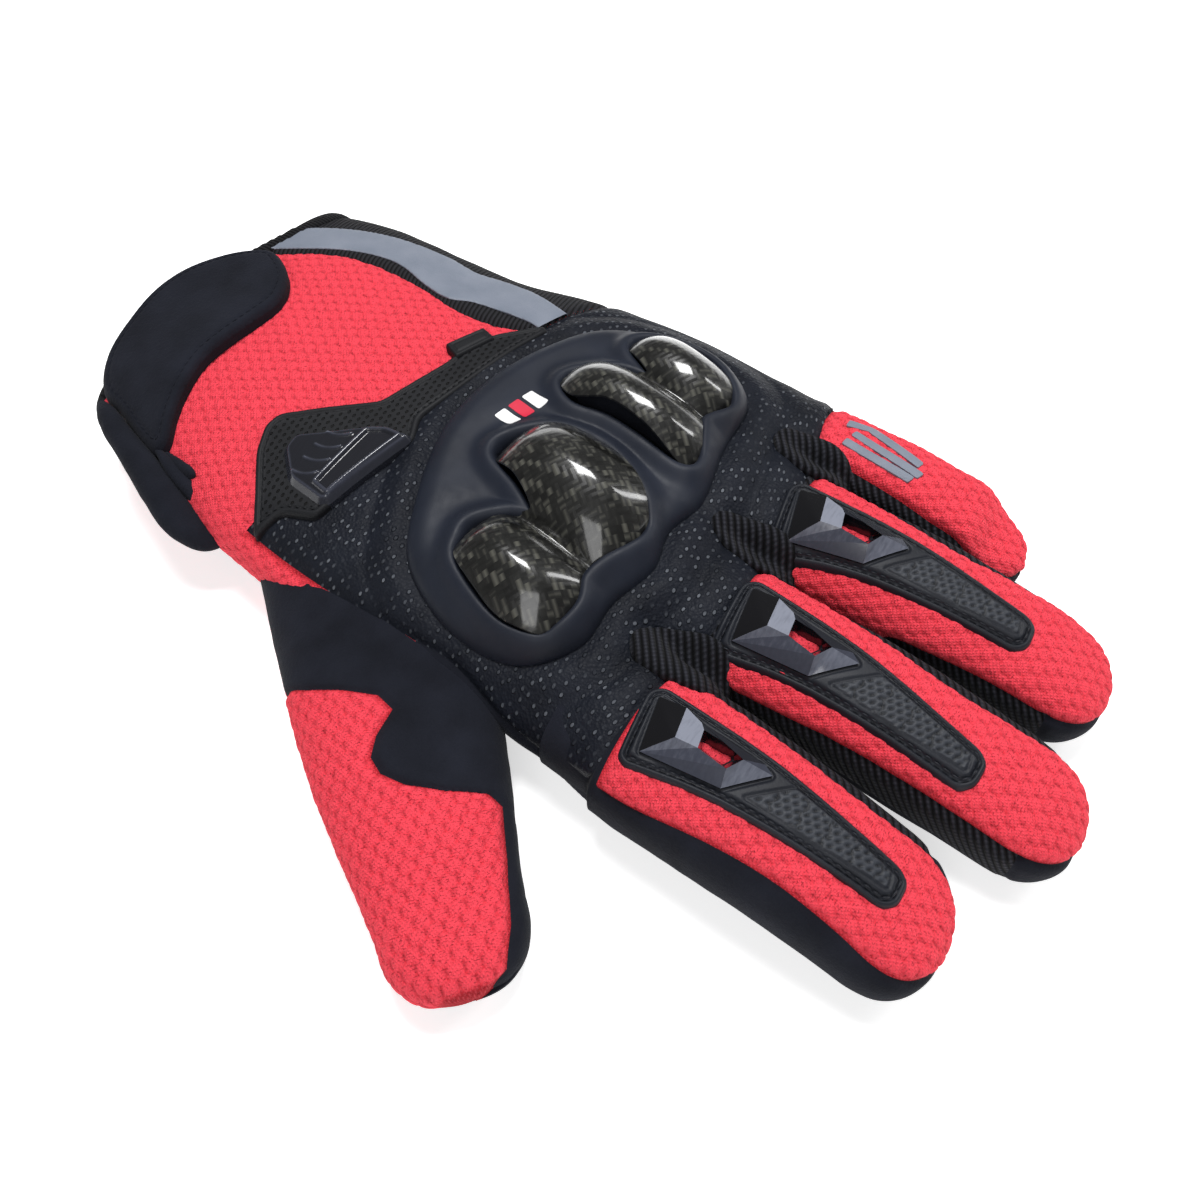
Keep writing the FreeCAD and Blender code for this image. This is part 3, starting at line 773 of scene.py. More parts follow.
class Shader:
    """A node material with one principled shader; small methods add the nodes around it."""

    def __init__(self, name, color=(0.02, 0.02, 0.02), roughness=0.6, **sockets):
        self.material = bpy.data.materials.new(name)
        self.material.use_nodes = True
        self.nodes = self.material.node_tree.nodes
        self.links = self.material.node_tree.links
        self.bsdf = self.nodes["Principled BSDF"]
        self.set(self.bsdf, "Base Color", (*color, 1.0))
        self.set(self.bsdf, "Roughness", roughness)
        for key, value in sockets.items():
            self.set(self.bsdf, key.replace("_", " ").title().replace("Ior", "IOR"), value)

    def set(self, node, socket, value):
        if isinstance(value, Value):
            self.links.new(value.socket, node.inputs[socket])
        else:
            node.inputs[socket].default_value = value

    def node(self, kind, output, inputs=(), **settings):
        """A node with its settings and inputs made, as the value of one of its outputs."""
        node = self.nodes.new("ShaderNode" + kind)
        for key, value in settings.items():
            setattr(node, key, value)
        for socket, value in dict(inputs).items():
            self.set(node, socket, value)
        return Value(self, node.outputs[output])

    def attribute(self, name, output="Fac"):
        return self.node("Attribute", output, attribute_name=name)

    def place(self):
        """Position on the glove in millimetres, which stays with the surface as it bends."""
        return self.attribute("place", "Vector")

    def math(self, operation, a, b=0.0):
        return self.node("Math", 0, {0: a, 1: b}, operation=operation)

    def turned(self, vector, angle, scale=(1, 1, 1)):
        return self.node("Mapping", 0, {"Vector": vector, "Rotation": (0, 0, angle), "Scale": scale})

    def split(self, vector):
        first = self.node("SeparateXYZ", 0, {0: vector})
        return [Value(self, output) for output in first.socket.node.outputs]

    def noise(self, vector, scale, detail=3.0, roughness=0.5):
        return self.node("TexNoise", "Fac", {"Vector": vector, "Scale": scale, "Detail": detail,
                                             "Roughness": roughness})

    def cells(self, vector, scale):
        return self.node("TexVoronoi", "Distance", {"Vector": vector, "Scale": scale})

    def chance(self, column, row, output):
        """Random numbers that each cell of a grid keeps."""
        cell = self.node("CombineXYZ", 0, {0: column, 1: row})
        return self.node("TexWhiteNoise", output, {"Vector": cell}, noise_dimensions="2D")

    def ramp(self, value, stops):
        """Colours or greys between the stops (position, colour)."""
        result = self.node("ValToRGB", "Color", {0: value})
        ramp = result.socket.node.color_ramp
        while len(ramp.elements) < len(stops):
            ramp.elements.new(0.5)
        for element, (position, color) in zip(ramp.elements, stops):
            element.position = position
            grey = (color,) * 3 if isinstance(color, (int, float)) else color
            element.color = (*grey, 1.0)
        return result

    def mix(self, factor, a, b):
        a, b = [(*value, 1.0) if isinstance(value, tuple) else value for value in (a, b)]
        return self.node("Mix", 2, {0: factor, 6: a, 7: b}, data_type="RGBA")

    def bump(self, height, distance):
        """Relief of the given height in millimetres, on top of any relief already there."""
        relief = self.node("Bump", "Normal", {"Height": height, "Distance": distance * MM,
                                              "Strength": 1.0})
        before = self.bsdf.inputs["Normal"].links
        if before:
            self.links.new(before[0].from_socket, relief.socket.node.inputs["Normal"])
        self.set(self.bsdf, "Normal", relief)

    def color(self, value):
        self.set(self.bsdf, "Base Color", value)

    def rough(self, value):
        self.set(self.bsdf, "Roughness", value)

    def length(self, a, b):
        return self.math("SQRT", a * a + b * b)

    def dots(self, place, pitch_x, pitch_y, radius, softness):
        """Round dots in staggered rows: 1 on a dot, 0 between."""
        x, y = self.split(place)[:2]
        v = y / pitch_y
        u = x / pitch_x + self.math("MODULO", v.floor(), 2.0) * 0.5
        away = self.length((u.fract() - 0.5) * pitch_x, (v.fract() - 0.5) * pitch_y)
        return ((radius - away) / (radius * softness)).limited()

    def specks(self, place, pitch, radius):
        """Small raised specks, one in most cells of a jittered grid, of uneven strength."""
        x, y = self.split(place)[:2]
        v = y / pitch
        u = x / pitch + v.floor() * 0.5
        rx, ry, rz = self.split(self.chance(u.floor(), v.floor(), "Color"))
        away = [part.fract() - ((spread - 0.5) * SPECK_JITTER + 0.5)
                for part, spread in ((u, rx), (v, ry))]
        dot = (radius / pitch - self.length(*away)) / (0.35 * radius / pitch)
        return dot.limited() * self.ramp(rz, [(1.0 - SPECK_SHARE, 0.0), (1.0, 1.0)])

    def ribs(self, place, angle, pitch):
        """Parallel ribs, 0..1, turned by the angle in the plane."""
        x = self.split(self.turned(place, angle))[0]
        return self.math("SINE", x * (2 * math.pi / pitch)) * 0.5 + 0.5


def red_mesh():
    s = Shader("red_mesh", roughness=0.85, sheen_weight=0.06, specular_ior_level=0.12)
    place = s.place()
    pattern = s.attribute("pattern", "Vector")
    s.set(s.bsdf, "Sheen Tint", (1.0, 0.3, 0.3, 1.0))
    height = s.attribute("height")
    # Painted shade: the colour is darker in the knit's valleys and lighter on its crowns, by height.
    tone = s.ramp(height, [(0.0, (0.36, 0.010, 0.018)), (0.30, (0.74, 0.038, 0.058)),
                           (0.8, (0.90, 0.062, 0.092))])
    thread = s.ribs(pattern, 0.85, 0.70)
    cross = s.ribs(pattern, -0.55, 0.56)
    weave = thread * cross
    tone = s.mix(weave * 0.35, tone, (1.0, 0.110, 0.145))
    fleck = s.noise(s.turned(pattern, 0.2, (1.0, 2.2, 1.0)), 1.6, 2.0)
    dark = s.ramp(fleck, [(0.56, 0.0), (0.70, 1.0)])
    tone = s.mix(dark * 0.45, tone, (0.26, 0.0, 0.006))
    # painted shade in the openings between the scallops, near black
    s.color(s.mix(s.attribute("pore") * 0.42, tone, (0.045, 0.0, 0.002)))
    s.bump(weave, 0.14)
    s.bump(s.noise(place, 3.5, 2.0), 0.12)
    s.bump(dark, -0.12)
    return s.material


def dotted_leather():
    s = Shader("dotted_leather", specular_ior_level=0.16)
    place = s.place()
    turned = s.turned(s.attribute("pattern", "Vector"), 0.9, (0.66, 1.0, 1.0))
    dots = s.specks(turned, SPECK_PITCH, 0.38)
    patches = s.ramp(s.noise(place, 0.16, 2.0), [(0.36, 0.15), (0.58, 1.0)])
    grain = s.cells(place, 1.5)
    base = s.ramp(s.noise(place, 0.08, 3.0), [(0.3, (0.0048, 0.0060, 0.0100)),
                                              (0.7, (0.0098, 0.0120, 0.0190))])
    s.color(s.mix(dots * patches, base, (0.12, 0.13, 0.15)))
    s.rough(s.ramp(grain, [(0.0, 0.50), (1.0, 0.70)]))
    s.bump(grain, 0.14)
    s.bump(s.specks(turned, SPECK_PITCH, 0.48), 0.35)
    return s.material


def suede(name="suede_black", tint=1.0):
    s = Shader(name, roughness=0.95, sheen_weight=0.035, sheen_roughness=0.5,
               specular_ior_level=0.08)
    place = s.place()
    cloud = s.noise(place, 0.10, 4.0)
    low, high = 0.0065 * tint, 0.0130 * tint
    base = s.ramp(cloud, [(0.3, (low, low * 1.12, low * 1.7)),
                           (0.7, (high, high * 1.12, high * 1.7))])
    nap = s.noise(place, 2.6, 4.0, 0.7)
    light = 0.024 * tint
    s.color(s.mix(nap * 0.35, base, (light, light * 1.08, light * 1.45)))
    s.bump(nap, 0.14)
    s.bump(s.cells(place, 1.1), 0.06)
    return s.material


def ribbed_knit():
    s = Shader("ribbed_knit", roughness=0.85, sheen_weight=0.03, specular_ior_level=0.12)
    pattern = s.attribute("pattern", "Vector")
    rib = s.ribs(pattern, 0.95, 1.5)
    cross = s.ribs(pattern, -0.65, 0.9)
    weave = s.math("POWER", rib, 0.7) * (cross * 0.25 + 0.75)
    # Painted shade and sheen: the colour is darker in the grooves between the ribs and lighter on their
    # crests.
    s.color(s.ramp(weave, [(0.05, (0.0010, 0.0010, 0.0014)), (0.5, (0.009, 0.0092, 0.012)),
                           (1.0, (0.032, 0.033, 0.042))]))
    s.bump(weave, 0.5)
    s.bump(s.noise(s.place(), 3.0, 2.0), 0.08)
    return s.material


def elastic_rib():
    s = Shader("elastic_rib", roughness=0.85, sheen_weight=0.03, specular_ior_level=0.15)
    place = s.place()
    rib = s.math("POWER", s.ribs(place, 1.35, 1.15), 0.6)
    # Painted shade and sheen: darker between the ribs, lighter on their crests.
    s.color(s.ramp(rib, [(0.1, (0.0015, 0.0015, 0.002)), (1.0, (0.022, 0.022, 0.026))]))
    s.bump(rib, 0.4)
    return s.material


def moulded(name, color, roughness, coat=0.0, grain=0.06, scale=2.5):
    s = Shader(name, color, roughness, specular_ior_level=0.28, coat_weight=coat,
               coat_roughness=0.06)
    place = s.place()
    soft = s.noise(place, 0.06, 3.0)
    dark = tuple(c * 0.82 for c in color)
    light = tuple(c * 1.2 for c in color)
    s.color(s.ramp(soft, [(0.3, dark), (0.7, light)]))
    s.rough(s.ramp(s.noise(place, 0.4, 3.0), [(0.3, roughness * 0.9), (0.7, roughness * 1.1)]))
    if grain:
        s.bump(s.noise(place, scale, 3.0), grain)
    return s.material


def carbon():
    """Clear-coated twill: tows over and under, each tow catching the light its own way."""
    s = Shader("carbon", roughness=0.38, coat_weight=1.0, coat_roughness=0.11,
               specular_ior_level=0.3)
    place = s.turned(s.place(), 0.62, (1 / 1.3, 1 / 1.3, 1))
    x, y = s.split(place)[:2]
    column, row = x.floor(), y.floor()
    over = s.math("GREATER_THAN", ((column + row) / 4.0).fract(), 0.49)
    fx, fy = [s.math("ABSOLUTE", part.fract() - 0.5) for part in (x, y)]
    crown = 1.0 - (fx * over + fy * (1.0 - over)) * 2.0
    # Painted reflection and shade: each tow is lighter or darker for the light it catches, the tows on top
    # are lighter, and every tow darkens towards its edges.
    tone = s.chance(column, row, "Value") * 0.75 + 0.05 + over * 0.22
    tone = tone * (crown * 0.5 + 0.5)
    s.color(s.ramp(tone, [(0.08, (0.004, 0.004, 0.0035)), (0.45, (0.011, 0.011, 0.010)),
                          (0.90, (0.080, 0.079, 0.066))]))
    s.bump(crown, 0.05)
    return s.material


def reflective():
    s = Shader("reflective_grey", roughness=0.5, specular_ior_level=0.35)
    beads = s.cells(s.place(), 5.0)
    s.color(s.ramp(s.noise(s.place(), 0.12, 3.0), [(0.3, (0.170, 0.195, 0.245)),
                                                   (0.7, (0.215, 0.240, 0.295))]))
    s.rough(s.ramp(beads, [(0.0, 0.4), (1.0, 0.6)]))
    s.bump(beads, 0.05)
    return s.material


def slotted_rubber():
    """The wrist guard's rubber, with small slots in staggered rows where the slot value is 1, painted near
    black as the shade inside them.
    """
    s = Shader("slotted_rubber", roughness=0.58, specular_ior_level=0.22)
    place = s.place()
    slots = s.dots(s.turned(place, -0.25, (0.62, 1.0, 1.0)), 1.16, 1.5, 0.34, 0.35)
    slots = slots * s.attribute("slots")
    base = s.ramp(s.noise(place, 0.08, 3.0), [(0.3, (0.0075, 0.008, 0.0098)),
                                              (0.7, (0.012, 0.0127, 0.015))])
    # painted shade: the slots near black
    s.color(s.mix(slots, base, (0.0008, 0.0008, 0.001)))
    s.bump(slots, -0.45)
    s.bump(s.noise(place, 2.5, 3.0), 0.04)
    return s.material


def tread_rubber():
    """Finger guard rubber: a lighter field where height is 1, and dimples painted black as shade where
    slots is 1.
    """
    s = Shader("tread_rubber", roughness=0.52, specular_ior_level=0.28)
    base = s.ramp(s.noise(s.place(), 0.1, 3.0), [(0.3, (0.0080, 0.0094, 0.0140)),
                                                 (0.7, (0.0125, 0.0145, 0.0210))])
    base = s.mix(s.attribute("height"), base, (0.034, 0.038, 0.048))
    # painted shade: the dimples near black
    s.color(s.mix(s.attribute("slots"), base, (0.0018, 0.0018, 0.0024)))
    s.bump(s.noise(s.place(), 2.5, 3.0), 0.05)
    return s.material


def faceted_gloss():
    """Bevelled glossy plastic whose colour paints its reflections: the height value sets how much painted
    reflection or highlight lightens each place, in streaks.
    """
    s = Shader("faceted_gloss", roughness=0.22, coat_weight=0.5, coat_roughness=0.08,
               specular_ior_level=0.4)
    reflection_streak = s.noise(s.turned(s.place(), 0.5, (0.25, 1.4, 1.0)), 1.0, 3.0)
    tone = s.attribute("height") * (reflection_streak * 0.5 + 0.75)
    s.color(s.ramp(tone, [(0.0, (0.0035, 0.0035, 0.005)), (0.5, (0.046, 0.050, 0.070)),
                          (1.0, (0.230, 0.245, 0.300))]))
    return s.material


def binding():
    s = Shader("binding_tape", roughness=0.85, sheen_weight=0.03, specular_ior_level=0.1)
    ribs = s.ribs(s.place(), 0.0, 1.1)
    # Painted shade and sheen: darker between the ribs, lighter on their crests.
    s.color(s.ramp(ribs, [(0.1, (0.002, 0.002, 0.003)), (1.0, (0.014, 0.014, 0.016))]))
    s.bump(ribs, 0.25)
    return s.material


MATERIALS = {
    "red_mesh": red_mesh(),
    "dotted_leather": dotted_leather(),
    "suede_black": suede(),
    "ribbed_knit": ribbed_knit(),
    "black_elastic": elastic_rib(),
    "guard_pu": moulded("guard_pu", (0.0118, 0.0150, 0.0250), 0.55, grain=0.02),
    "slotted_rubber": slotted_rubber(),
    "tread_rubber": tread_rubber(),
    "faceted_gloss": faceted_gloss(),
    "carbon": carbon(),
    "reflective_grey": reflective(),
    "lining": suede("lining", 1.6),
    "tape_pile": suede("tape_pile", 0.9),
    "binding_tape": binding(),
    "leather_black": moulded("leather_black", (0.008, 0.008, 0.009), 0.5, grain=0.12, scale=1.6),
    "print_white": moulded("print_white", (0.78, 0.78, 0.78), 0.55, grain=0.0),
    "print_red": moulded("print_red", (0.55, 0.02, 0.05), 0.55, grain=0.0),
}


# ---- putting the limbs together -----------------------------------------------------------------
def dressed(mesh):
    """Adds the rest position that the materials read, and makes sure that patterns exist."""
    mesh.data = {k: d for k, d in mesh.data.items() if k in ("pattern", "height", "pore", "slots")}
    mesh.data["place"] = mesh.v.copy()
    mesh.data.setdefault("pattern", mesh.v.copy())
    return mesh


KNUCKLE_BEND = (40.0, 57.0)     # places along a finger given to bend at the knuckle
JOINT_BEND = (8.0, 9.0)         # and before and after the middle joint
FINGER_AXIS_Z = 14.0
PART_AT = 58.0                  # where the finger sleeves are parted, within the first phalanx
# the same for the thumb, along it from its origin
THUMB_SWING_BEND = (24.0, 52.0)
THUMB_TIP_BEND = (57.0, 75.0)
THUMB_AXIS_Z = 11.0
THUMB_PART_AT = 54.0


def bend(obj, near, far, start, end, z):
    """Bakes the object's transform into its mesh."""
    start, end = [tuple(np.append(place, z) * MM) for place in (start, end)]
    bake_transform(obj)
    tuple(start)
    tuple(end)


def bend_at_knuckle(obj, name):
    start, end = [(FINGERS[name][0], y) for y in KNUCKLE_BEND]
    bend(obj, "hand", name + "_proximal", start, end, FINGER_AXIS_Z)


def bend_at_joint(obj, name):
    x, joint = FINGERS[name][0], FINGERS[name][6]
    bend(obj, name + "_proximal", name + "_distal", (x, joint - JOINT_BEND[0]),
         (x, joint + JOINT_BEND[1]), FINGER_AXIS_Z)


def parted(mesh, along, place):
    """The mesh before and after a place along its limb."""
    return dressed(mesh.clip(place - along)), dressed(mesh.clip(along - place))


def on_finger_joints(name, mesh, slot, names, replaced, material=None):
    """Two pieces from one surface, parted at the first phalanx."""
    for part, piece, node, bender in zip(parted(mesh, mesh.v[:, 1], PART_AT), names, replaced,
                                         (bend_at_knuckle, bend_at_joint)):
        bender(make(piece, part, slot, material, replaces=[node] if node else ()), name)


def build_fingers():
    for name in FINGERS:
        for mesh, label, slot in zip(finger_panels(name), ("back", "sides", "front"),
                                     ("red_mesh", "ribbed_knit", "suede_black")):
            nodes = [f"{name}_{label}_proximal", f"{name}_{label}_distal"]
            on_finger_joints(name, mesh, slot, nodes, nodes)


def build_hand():
    back, outer, red, palm = hand_panels()
    on_hand("back_panel", back, "dotted_leather")
    on_hand("outer_wrist_gusset", outer, "black_elastic")
    on_hand("wrist_mesh_panel", red, "red_mesh")
    on_hand("palm_panel", palm, "suede_black")
    on_hand("hand_lining", hand_lining(), "suede_black", "lining", replaces=())


def build_thumb():
    for mesh, label, slot in zip(thumb_panels(), ("back", "front"), ("red_mesh", "suede_black")):
        along = (mesh.v[:, :2] - THUMB_ORIGIN) @ THUMB_ALONG
        base, end = parted(mesh, along, THUMB_PART_AT)
        near = make(f"thumb_{label}_base", base, slot,
                    replaces=[f"thumb_{label}_base", f"thumb_{label}_proximal"])
        far = make(f"thumb_{label}_tip", end, slot, replaces=[f"thumb_{label}_tip"])
        for obj, first, second, zone in ((near, "hand", "thumb_proximal", THUMB_SWING_BEND),
                                         (far, "thumb_proximal", "thumb_tip", THUMB_TIP_BEND)):
            places = [THUMB_ORIGIN + distance * THUMB_ALONG for distance in zone]
            bend(obj, first, second, *places, THUMB_AXIS_Z)


# ---- moulded and laid-on parts, raised over an outline seen from above --------------------------
def relief(outline, height, step=0.4, holes=(), drop=1.5, depth=None):
    """A plate over an outline, raised to height(x, y, distance from the edge).

    Its edges hang down by drop; with a depth it is closed below at that depth as well.
    """
    low = outline.min(0) - step
    high = outline.max(0) + step
    xs = np.arange(low[0], high[0] + step, step)
    ys = np.arange(low[1], high[1] + step, step)
    gx, gy = np.meshgrid(xs, ys)
    flat = np.stack([gx.ravel(), gy.ravel()], 1)
    edge = inside(flat, outline)
    for hole in holes:
        edge = np.minimum(edge, -inside(flat, hole))
    mesh = Mesh(np.column_stack([flat, np.zeros(len(flat))]),
                grid_triangles(len(ys), len(xs)), edge=edge)
    mesh = mesh.clip(edge)
    x, y = mesh.v[:, :2].T
    mesh.v[:, 2] = height(x, y, np.maximum(mesh.data["edge"], 0.0))
    if depth is None:
        return mesh.skirt((0, 0, -drop))
    under = Mesh(mesh.v - (0, 0, depth), mesh.t[:, ::-1], **mesh.data)
    return joined([mesh.skirt((0, 0, -depth)), under])


def rounded(d, radius):
    """Quarter round from 0 at an edge to 1 at the radius from it."""
    return np.sqrt(np.maximum(1 - (1 - np.clip(d / radius, 0, 1)) ** 2, 0))


def even(loop, step):
    """The closed outline with evenly spaced points."""
    closed = np.vstack([loop, loop[:1]])
    arc = arc_length(closed)
    at = np.linspace(0, arc[-1], max(int(arc[-1] / step), 8), endpoint=False)
    return np.stack([np.interp(at, arc, closed[:, k]) for k in range(2)], 1)


def shrunk(loop, distance):
    """The outline moved inwards by the distance, or outwards if it is negative."""
    p = even(loop, 0.5)
    tangent = unit(np.roll(p, -1, 0) - np.roll(p, 1, 0))
    normal = np.stack([-tangent[:, 1], tangent[:, 0]], 1)
    area = (p[:, 0] * np.roll(p[:, 1], -1) - np.roll(p[:, 0], -1) * p[:, 1]).sum()
    moved = p + normal * distance * np.sign(area)
    reach = inside(moved, loop) * np.sign(distance)
    return moved[reach > abs(distance) - 0.08]


def swept(path, radius, sides=8, flat=1.0):
    """A tube along a path of points with a radius at each, flattened upwards by a share."""
    path = np.asarray(path, float)
    radius = np.broadcast_to(radius, len(path))
    tangent = unit(np.gradient(path, axis=0))
    side = unit(np.cross(tangent, (0, 0, 1.0)))
    up = np.cross(side, tangent)
    a = np.arange(sides) / sides * 2 * math.pi
    ring = (np.cos(a)[None, :, None] * side[:, None] + flat * np.sin(a)[None, :, None] * up[:, None])
    points = path[:, None] + radius[:, None, None] * ring
    arc = arc_length(path)
    pattern = np.stack([np.broadcast_to(a * radius.mean(), points.shape[:2]),
                        np.broadcast_to(arc[:, None], points.shape[:2]),
                        np.zeros(points.shape[:2])], -1)
    return Mesh(points.reshape(-1, 3), grid_triangles(len(path), sides, wrap=True),
                pattern=pattern.reshape(-1, 3))


def spaced(path, step):
    """Points along an open path at even distances."""
    arc = arc_length(path)
    at = np.linspace(0, arc[-1], max(int(arc[-1] / step) + 1, 2))
    return np.stack([np.interp(at, arc, path[:, k]) for k in range(path.shape[1])], 1)


def stitches(path, length=1.6, gap=0.55, radius=0.24):
    """Thread seen between needle holes along a path in space: one slim bead to a stitch."""
    path = spaced(np.asarray(path, float), 0.2)
    per = max(int(round((length + gap) / 0.2)), 2)
    used = max(int(round(length / 0.2)), 2)
    beads = []
    for start in range(0, len(path) - used, per):
        run = path[start:start + used + 1]
        t = np.linspace(0, 1, len(run))
        lift = np.zeros((len(run), 3))
        lift[:, 2] = radius * 0.8 * np.sin(np.pi * t)
        beads.append(swept(run + lift, radius * np.maximum(np.sin(np.pi * t), 0.02) ** 0.35, 6))
    return joined(beads)


def over(outline, height, lift=0.0):
    """A closed outline laid on a surface height(x, y, d) that ignores the edge distance."""
    p = np.vstack([outline, outline[:1]])
    return np.column_stack([p, height(p[:, 0], p[:, 1], np.full(len(p), 9.0)) + lift])


# ---- knuckle guard -----------------------------------------------------------------------------
# the two windows of the frame: over the index and middle fingers, over the ring and little ones
WINDOW_NEAR = curved_loop([(9, -16), (4, -16), (-3, -9), (-4, 2), (0, 12), (5, 18), (10, 20), (19, 16),
                           (25, 15), (30, 17), (36, 16), (39, 14), (40, 7), (38, 0), (34, -8),
                           (30, -10), (26, -10), (21, -5), (18, 0), (13, -7)])
WINDOW_FAR = curved_loop([(-16, -15), (-20, -14), (-26, -7), (-28, 1), (-34, -8), (-38, -8), (-42, -2),
                          (-43, 5), (-40, 12), (-33, 18), (-25, 15), (-20, 17), (-14, 20), (-11, 18),
                          (-13, 7), (-14, -2), (-13, -10)])
# ridge start and end, half width, height over the foot, of each carbon lobe
LOBES = {
    "near": [((4.5, -17), (9.5, 22), 15.0, 14.2), ((29.0, -12), (34.0, 19), 13.0, 12.4)],
    "far": [((-19.5, -18), (-14.5, 22), 11.5, 13.4), ((-38.0, -11), (-31.0, 19), 11.0, 11.2)],
}


def frame_height(x, y, d):
    """Smooth rubbery shell: rolled outer edge, raised lips round the windows, hollow between."""
    outer = depth_in(x, y, GUARD_FRAME)
    window = -np.maximum(depth_in(x, y, WINDOW_NEAR), depth_in(x, y, WINDOW_FAR))
    z = hand_top(x, y, lift=False) + 0.4 + 4.0 * rounded(outer, 5.5)
    z = z + 2.3 * bump(window, 1.9, 2.7) - 2.4 * (1 - rounded(window, 1.5))
    return z + 0.5 * ease((window - 4) / 8)


def lobe(x, y, start, end, half_width, height):
    """A dome with a soft ridge along it."""
    a = np.array(start, float)
    b = np.array(end, float)
    along = (b - a) / np.linalg.norm(b - a)
    half = np.linalg.norm(b - a) / 2
    rel = np.stack([x, y], 1) - (a + b) / 2
    v = (rel @ along) / half
    u = (rel[:, 0] * along[1] - rel[:, 1] * along[0]) / half_width
    round_end = np.maximum(1 - np.abs(v) ** 2.3, 0) ** 0.52
    crown = np.maximum(1 - np.abs(u) ** 2.0, 0) ** 0.62
    ridge = 0.9 * np.exp(-np.sqrt((u * half_width / 2.6) ** 2 + 0.25))
    return height * round_end * crown + ridge * round_end


def shell_height(side):
    def height(x, y, d):
        first, second = [lobe(x, y, *values) for values in LOBES[side]]
        return hand_top(x, y, lift=False) - 0.6 + smooth_max(first, second, 1.8)
    return height


def build_knuckle_guard():
    frame_mesh = relief(GUARD_FRAME, frame_height, 0.45, (WINDOW_NEAR, WINDOW_FAR), drop=3.5)
    on_hand("knuckle_guard_frame", frame_mesh, "guard_pu")
    for side, window, node in (("near", WINDOW_NEAR, "carbon_shell_index_middle"),
                               ("far", WINDOW_FAR, "carbon_shell_ring_little")):
        on_hand(node, relief(shrunk(window, -1.0), shell_height(side), 0.4, drop=0.5), "carbon")
    foam = [relief(shrunk(window, 2.5), lambda x, y, d: hand_top(x, y, lift=False) + 2.0, 1.2)
            for window in (WINDOW_NEAR, WINDOW_FAR)]
    on_hand("knuckle_foam_pads", joined(foam), "foam", "lining")


def build_emblem():
    """Three plain slanted bars printed on the frame, the middle one red."""
    bars = []
    along = np.array([-12.0, 3.2])
    side = along * 0.24
    lean = np.array([0.9, 5.2])
    for k in range(3):
        corner = np.array([0.2, -23.6]) + along * (0.06 + 0.32 * k)
        bars.append(cornered_loop([corner, corner + side, corner + side + lean, corner + lean], 0.4))

    def print_height(x, y, d):
        return frame_height(x, y, d) + 0.12

    white = joined([relief(bar, print_height, 0.3, drop=0.3) for bar in (bars[0], bars[2])])
    red = relief(bars[1], print_height, 0.3, drop=0.3)
    on_hand("knuckle_emblem", white, "emblem_print", "print_white")
    on_hand("knuckle_emblem_bar", red, "emblem_print", "print_red", replaces=())


# ---- wrist guard ----------------------------------------------------------------------------------
WRIST_GUARD = cornered_loop([(48, -54.5), (40, -60), (31.5, -66.5), (25, -69.2), (21, -68.4), (13.5, -59.4),
                             (6.5, -50.5), (-11, -45.0), (-17, -44.4), (-25, -41.0), (-34, -33.0),
                             (-33, -31), (-22, -33.8), (-14, -35.4), (-4, -37.4), (6, -39.6),
                             (12, -36.6), (35.5, -42.8), (38.5, -43.8), (41, -51.5)], 1.6)
WRIST_BADGE = cornered_loop([(28.6, -60.8), (24.0, -60.9), (19.9, -55.0), (14.0, -47.4), (11.8, -43.4),
                             (11.6, -37.4), (13.0, -36.8), (35.0, -42.6), (36.0, -44.4),
                             (34.7, -54.4)], 1.6)
NAME_BAR = cornered_loop([(15.6, -47.2), (13.3, -43.0), (13.1, -38.6), (34.0, -43.6), (33.0, -48.8)], 1.0)
WRIST_BLOCK = cornered_loop([(-15.4, -48.4), (-25.2, -44.2), (-23.6, -39.6), (-13.2, -43.4)], 0.6)
LOUVRES = [((20.6, -54.2), (18.4, -49.0)), ((24.6, -54.2), (22.4, -48.9)),
           ((28.5, -54.3), (26.3, -48.8)), ((32.4, -54.4), (30.2, -49.2))]
LOUVRE_BOW = 0.7        # how far a louvre bows out at its middle


def guard_base(x, y):
    return hand_top(x, y, lift=False) + 0.9


def guard_height(x, y, d):
    """Raised border with a fine groove inside it, round a flat field."""
    z = guard_base(x, y) + 0.95 * rounded(d, 0.7) - 0.55 * bump(d, 1.55, 0.26)
    return z - 0.25 * ease((d - 1.8) / 0.4)


def louvre_lines(x, y, width):
    """1 on the middle lines of the badge's curved louvres, fading to 0 over the width."""
    flat = np.stack([x, y], 1)
    total = 0.0
    for a, b in np.array(LOUVRES):
        t = np.clip(((flat - a) @ (b - a)) / ((b - a) @ (b - a)), 0, 1)
        middle = a + t[:, None] * (b - a)
        middle[:, 0] += LOUVRE_BOW * (1 - (2 * t - 1) ** 2)
        total = total + bump(np.linalg.norm(flat - middle, axis=1), 0, width)
    return total


def badge_height(x, y, d):
    """A bevelled block with four thin louvres and a raised frame round a blank name field."""
    z = guard_base(x, y) + 0.6 + 1.7 * np.clip(d / 1.25, 0, 1) + 0.38 * louvre_lines(x, y, 0.36)
    bar = depth_in(x, y, NAME_BAR)
    return z + 0.75 * ease((bar + 0.35) / 0.7) - 0.75 * ease((bar - 0.75) / 0.7)


def badge_highlights(x, y, d):
    """Painted highlights on the bevel and its edge, on the louvres and on the name frame, over a faint
    base.
    """
    tone = 0.36 * bump(d, 1.25, 0.25) + 0.10 * ease((1.1 - d) / 0.3)
    tone = tone + 0.50 * louvre_lines(x, y, 0.32)
    return np.clip(tone + 0.34 * bump(depth_in(x, y, NAME_BAR), 0.50, 0.45) + 0.08, 0, 1)


def block_height(x, y, d):
    return guard_base(x, y) + 0.5 + 1.1 * rounded(d, 0.5) - 0.3 * bump(d, 1.2, 0.22)


